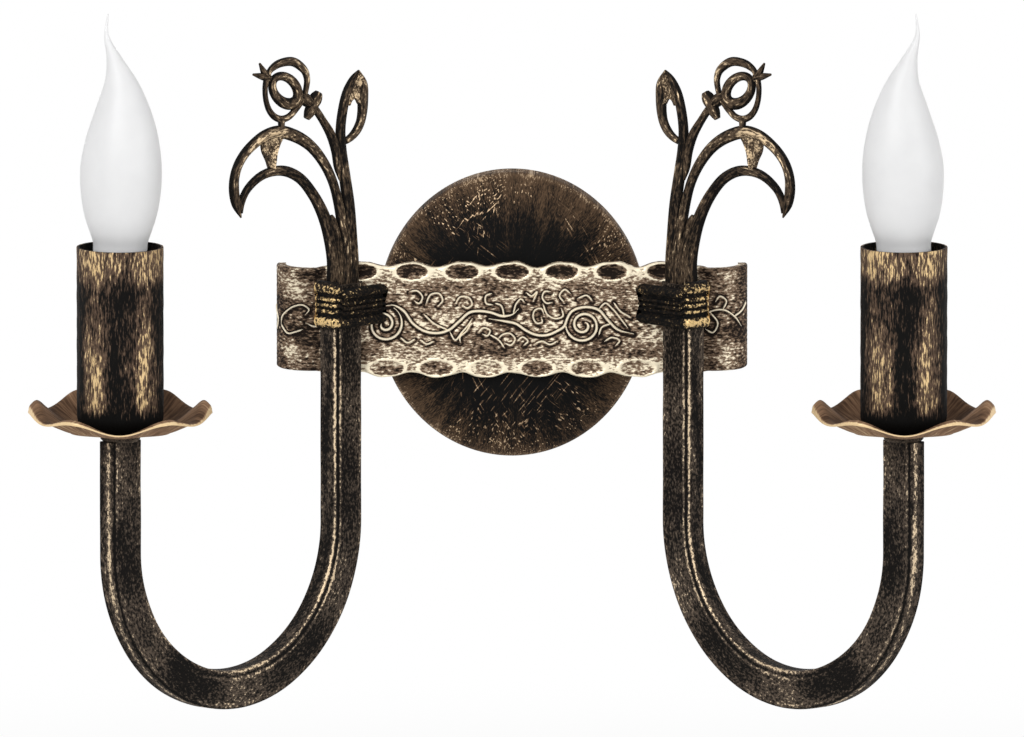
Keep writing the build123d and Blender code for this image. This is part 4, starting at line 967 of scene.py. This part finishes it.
for side_name, mirrored in sides.items():
    piece(f"candle_tube_{side_name}", [sleeve_shell], sleeve_finish,
          f"candle_sleeve_{side_name}", mirrored=mirrored)


# Flame bulbs: blown glass, frosted white, with a bent and drawn-out tip. The glass is hollow, and
# its neck is cemented into the metal cap.
glass_wall = 0.8
glass_hollow_end = 2.5      # radius of the outside where the hollow ends and the tip is solid
# height above the cap, radius, and lean away from the axis, from the neck to the tip
flame = [(0.0, 6.6, 0.0), (2.4, 9.8, 0.0), (4.6, 11.3, 0.0), (9.0, 11.7, 0.2), (14.4, 13.4, 0.3),
         (19.2, 15.0, 0.3), (32.6, 17.2, 0.4), (41.6, 17.35, 0.5), (52.0, 15.9, 0.9), (67.6, 11.3, 1.3),
         (79.7, 6.5, 0.4), (88.3, 3.4, -2.2), (98.5, 1.0, -5.6), (107.3, 0.3, -4.9)]
glass_bottom = box_of("bulb_glass_left")[0][2]
outline = smooth(flame, 150)
hollow = outline[outline[:, 1] > glass_hollow_end][::-1]
angles = np.linspace(0, 2 * np.pi, 96, endpoint=False)[None]


def leaning(rows, wall):
    """Round sections up the flame, each moved sideways by its lean and thinned by the wall."""
    height, radius, lean = rows.T[:, :, None]
    grid = at_candle(radius - wall, angles, glass_bottom + height)
    return grid + np.concatenate([lean, 0 * lean, 0 * lean], axis=1)[:, None]


glass_grid = np.concatenate([leaning(hollow, glass_wall), leaning(outline, 0.0)])


def frosted():
    """Opal white glass, a little grey and uneven where the frost is thin."""
    material = bpy.data.materials.new("frosted_glass")
    material.use_nodes = True
    tree = material.node_tree
    shader = tree.nodes["Principled BSDF"]
    place = node(tree, "TexCoord").outputs["Object"]
    cloud = node(tree, "TexNoise", {"Vector": place, "Scale": 70.0, "Detail": 2.0}).outputs["Fac"]
    frost = node(tree, "TexNoise", {"Vector": place, "Scale": 2600.0, "Detail": 2.0}).outputs["Fac"]
    colour = mix_colour(tree, cloud, paint(240, 240, 241), paint(252, 252, 252))
    raised = node(tree, "Bump", {"Height": frost, "Strength": 0.12, "Distance": 0.0002})
    roughness = node(tree, "MapRange", {"Value": cloud, "To Min": 0.38, "To Max": 0.5}).outputs[0]
    tree.links.new(colour, shader.inputs["Base Color"])
    tree.links.new(roughness, shader.inputs["Roughness"])
    tree.links.new(raised.outputs[0], shader.inputs["Normal"])
    shader.inputs["Transmission Weight"].default_value = 0.25
    shader.inputs["IOR"].default_value = 1.45
    return material


glass_finish = frosted()
for side_name, mirrored in sides.items():
    piece(f"flame_glass_{side_name}", [shell(glass_grid, 0.0)], glass_finish,
          f"bulb_glass_{side_name}", body=f"bulb_{side_name}", mirrored=mirrored)


# Small and hidden parts, which keep their CAD shape: zinc-plated steel, brass, moulded plastic,
# rubber and nickel, and the dark bronze of the small parts that show.
def plain(name, colour, second, metallic, roughness, grain, stretch=(1, 1, 1)):
    """A material of one colour that clouds into a second one, with fine grain in its gloss."""
    material = bpy.data.materials.new(name)
    material.use_nodes = True
    tree = material.node_tree
    shader = tree.nodes["Principled BSDF"]
    place = node(tree, "TexCoord").outputs["Object"]
    place = node(tree, "Mapping", {"Vector": place, "Scale": stretch}).outputs[0]
    cloud = node(tree, "TexNoise", {"Vector": place, "Scale": grain / 6, "Detail": 3.0}).outputs["Fac"]
    fine = node(tree, "TexNoise", {"Vector": place, "Scale": grain, "Detail": 2.0}).outputs["Fac"]
    tree.links.new(mix_colour(tree, cloud, paint(*colour), paint(*second)), shader.inputs["Base Color"])
    rough = node(tree, "MapRange", {"Value": fine, "To Min": roughness - 0.08, "To Max": roughness + 0.08})
    tree.links.new(rough.outputs[0], shader.inputs["Roughness"])
    raised = node(tree, "Bump", {"Height": fine, "Strength": 0.1, "Distance": 0.0002})
    tree.links.new(raised.outputs[0], shader.inputs["Normal"])
    shader.inputs["Metallic"].default_value = metallic
    return material


small_finishes = {
    "zinc_steel": plain("zinc_steel", (176, 178, 178), (150, 152, 154), 1.0, 0.38, 1500.0, (1, 1, 0.4)),
    "brass_parts": plain("brass_parts", (206, 172, 100), (178, 142, 78), 1.0, 0.32, 1500.0),
    "white_plastic": plain("white_plastic", (232, 228, 216), (222, 217, 203), 0.0, 0.45, 1200.0),
    "black_rubber": plain("black_rubber", (30, 29, 29), (22, 21, 21), 0.0, 0.7, 1800.0),
    "nickel_cap": plain("nickel_cap", (196, 194, 188), (172, 170, 165), 1.0, 0.28, 1500.0),
    "bronze_small": bronze("bronze_small", arm_dark, arm_brown, arm_gold, wear_and_light=0.24, grain=1400.0,
                           patch=150.0, fleck=1.1, blotch=0.5),
}
material_slots = {row["node"]: row["material_slot"] for row in frame["record"]["subparts"]}
for name, thing in frame["nodes"].items():
    finish = small_finishes.get(material_slots[name])
    if finish:
        thing.data.materials.clear()
        thing.data.materials.append(finish)


# Studio: a pale floor below the sconce that fades into white further out, soft lamps in front of
# and above it, and a long lens a little above its middle, as in the photograph. Here the sizes are
# in metres.
view_width = 0.4376
view_point = (0.0, -0.085, -0.0126)
view_lens = 1200.0
view_sensor = 36.0
view_rise = 8.5
floor_level = -0.45
floor_reach = 12.0
shadow_reach = 0.8          # how far the floor is plain and takes the shadow
white_from = 1.9            # where it has faded into white
sky_strength = 0.62
camera_reach = 60.0         # the farthest that the camera sees

camera_data = bpy.data.cameras.new("camera")
camera_data.lens = view_lens
camera_data.sensor_width = view_sensor
camera_data.clip_end = camera_reach
camera = bpy.data.objects.new("camera", camera_data)
bpy.context.scene.collection.objects.link(camera)
distance = view_width * view_lens / view_sensor
tilt = np.radians(view_rise)
camera.location = np.array(view_point) + distance * np.array([0, -np.cos(tilt), np.sin(tilt)])
camera.rotation_euler = (np.pi / 2 - tilt, 0, 0)
bpy.context.scene.camera = camera


def seen_directly(tree):
    """One for rays from the camera, in a reflection or through glass, and zero for light."""
    rays = node(tree, "LightPath").outputs
    seen = math(tree, "MAXIMUM", rays["Is Camera Ray"], rays["Is Glossy Ray"])
    return math(tree, "MAXIMUM", seen, rays["Is Transmission Ray"])


def floor_material():
    """Pale matt floor near the sconce, where its shadow falls, and plain white further out."""
    material = bpy.data.materials.new("pale_floor")
    material.use_nodes = True
    tree = material.node_tree
    shader = tree.nodes["Principled BSDF"]
    shader.inputs["Base Color"].default_value = paint(240, 240, 239)
    shader.inputs["Roughness"].default_value = 0.8
    shader.inputs["Specular IOR Level"].default_value = 0.1
    place = node(tree, "TexCoord").outputs["Object"]
    far = node(tree, "VectorMath", {0: place}, operation="LENGTH").outputs["Value"]
    far = node(tree, "MapRange", {"Value": far, "From Min": shadow_reach, "From Max": white_from},
               interpolation_type="SMOOTHSTEP").outputs[0]
    white = node(tree, "Emission", {"Color": (1, 1, 1, 1), "Strength": 1.0}).outputs[0]
    amount = math(tree, "MULTIPLY", far, seen_directly(tree))
    blend = node(tree, "MixShader", {0: amount, 1: shader.outputs[0], 2: white})
    tree.links.new(blend.outputs[0], tree.nodes["Material Output"].inputs["Surface"])
    return material


floor_mesh = bpy.data.meshes.new("floor")
floor_corners = floor_reach * np.array([(-1, -1, 0), (1, -1, 0), (1, 1, 0), (-1, 1, 0)])
floor_corners[:, 2] = floor_level
floor_mesh.from_pydata(floor_corners.tolist(), [], [(0, 1, 2, 3)])
floor_mesh.materials.append(floor_material())
floor = bpy.data.objects.new("floor", floor_mesh)
bpy.context.scene.collection.objects.link(floor)


def soft_lamp(name, place, aim, size, power):
    """A square lamp at a place, turned to face a point."""
    lamp = bpy.data.lights.new(name, "AREA")
    lamp.size = size
    lamp.energy = power
    holder = bpy.data.objects.new(name, lamp)
    holder.location = place
    away = np.array(place) - np.array(aim)
    level_way = np.hypot(away[0], away[1])
    holder.rotation_euler = (np.arctan2(level_way, away[2]), 0, np.arctan2(away[0], -away[1]))
    bpy.context.scene.collection.objects.link(holder)


soft_lamp("front_lamp", (-0.9, -1.9, 1.3), (0, 0, 0), 1.2, 26.0)
soft_lamp("side_lamp", (1.7, -1.1, 0.5), (0, 0, 0), 0.9, 8.0)

world = bpy.data.worlds.new("studio")
bpy.context.scene.world = world
world.use_nodes = True
tree = world.node_tree
light = tree.nodes["Background"]
light.inputs["Color"].default_value = (1, 1, 1, 1)
light.inputs["Strength"].default_value = sky_strength
backdrop = node(tree, "Background", {"Color": (1, 1, 1, 1), "Strength": 1.0})
blend = node(tree, "MixShader", {0: seen_directly(tree), 1: light.outputs[0], 2: backdrop.outputs[0]})
tree.links.new(blend.outputs[0], tree.nodes["World Output"].inputs["Surface"])
bpy.context.scene.view_settings.view_transform = "Standard"
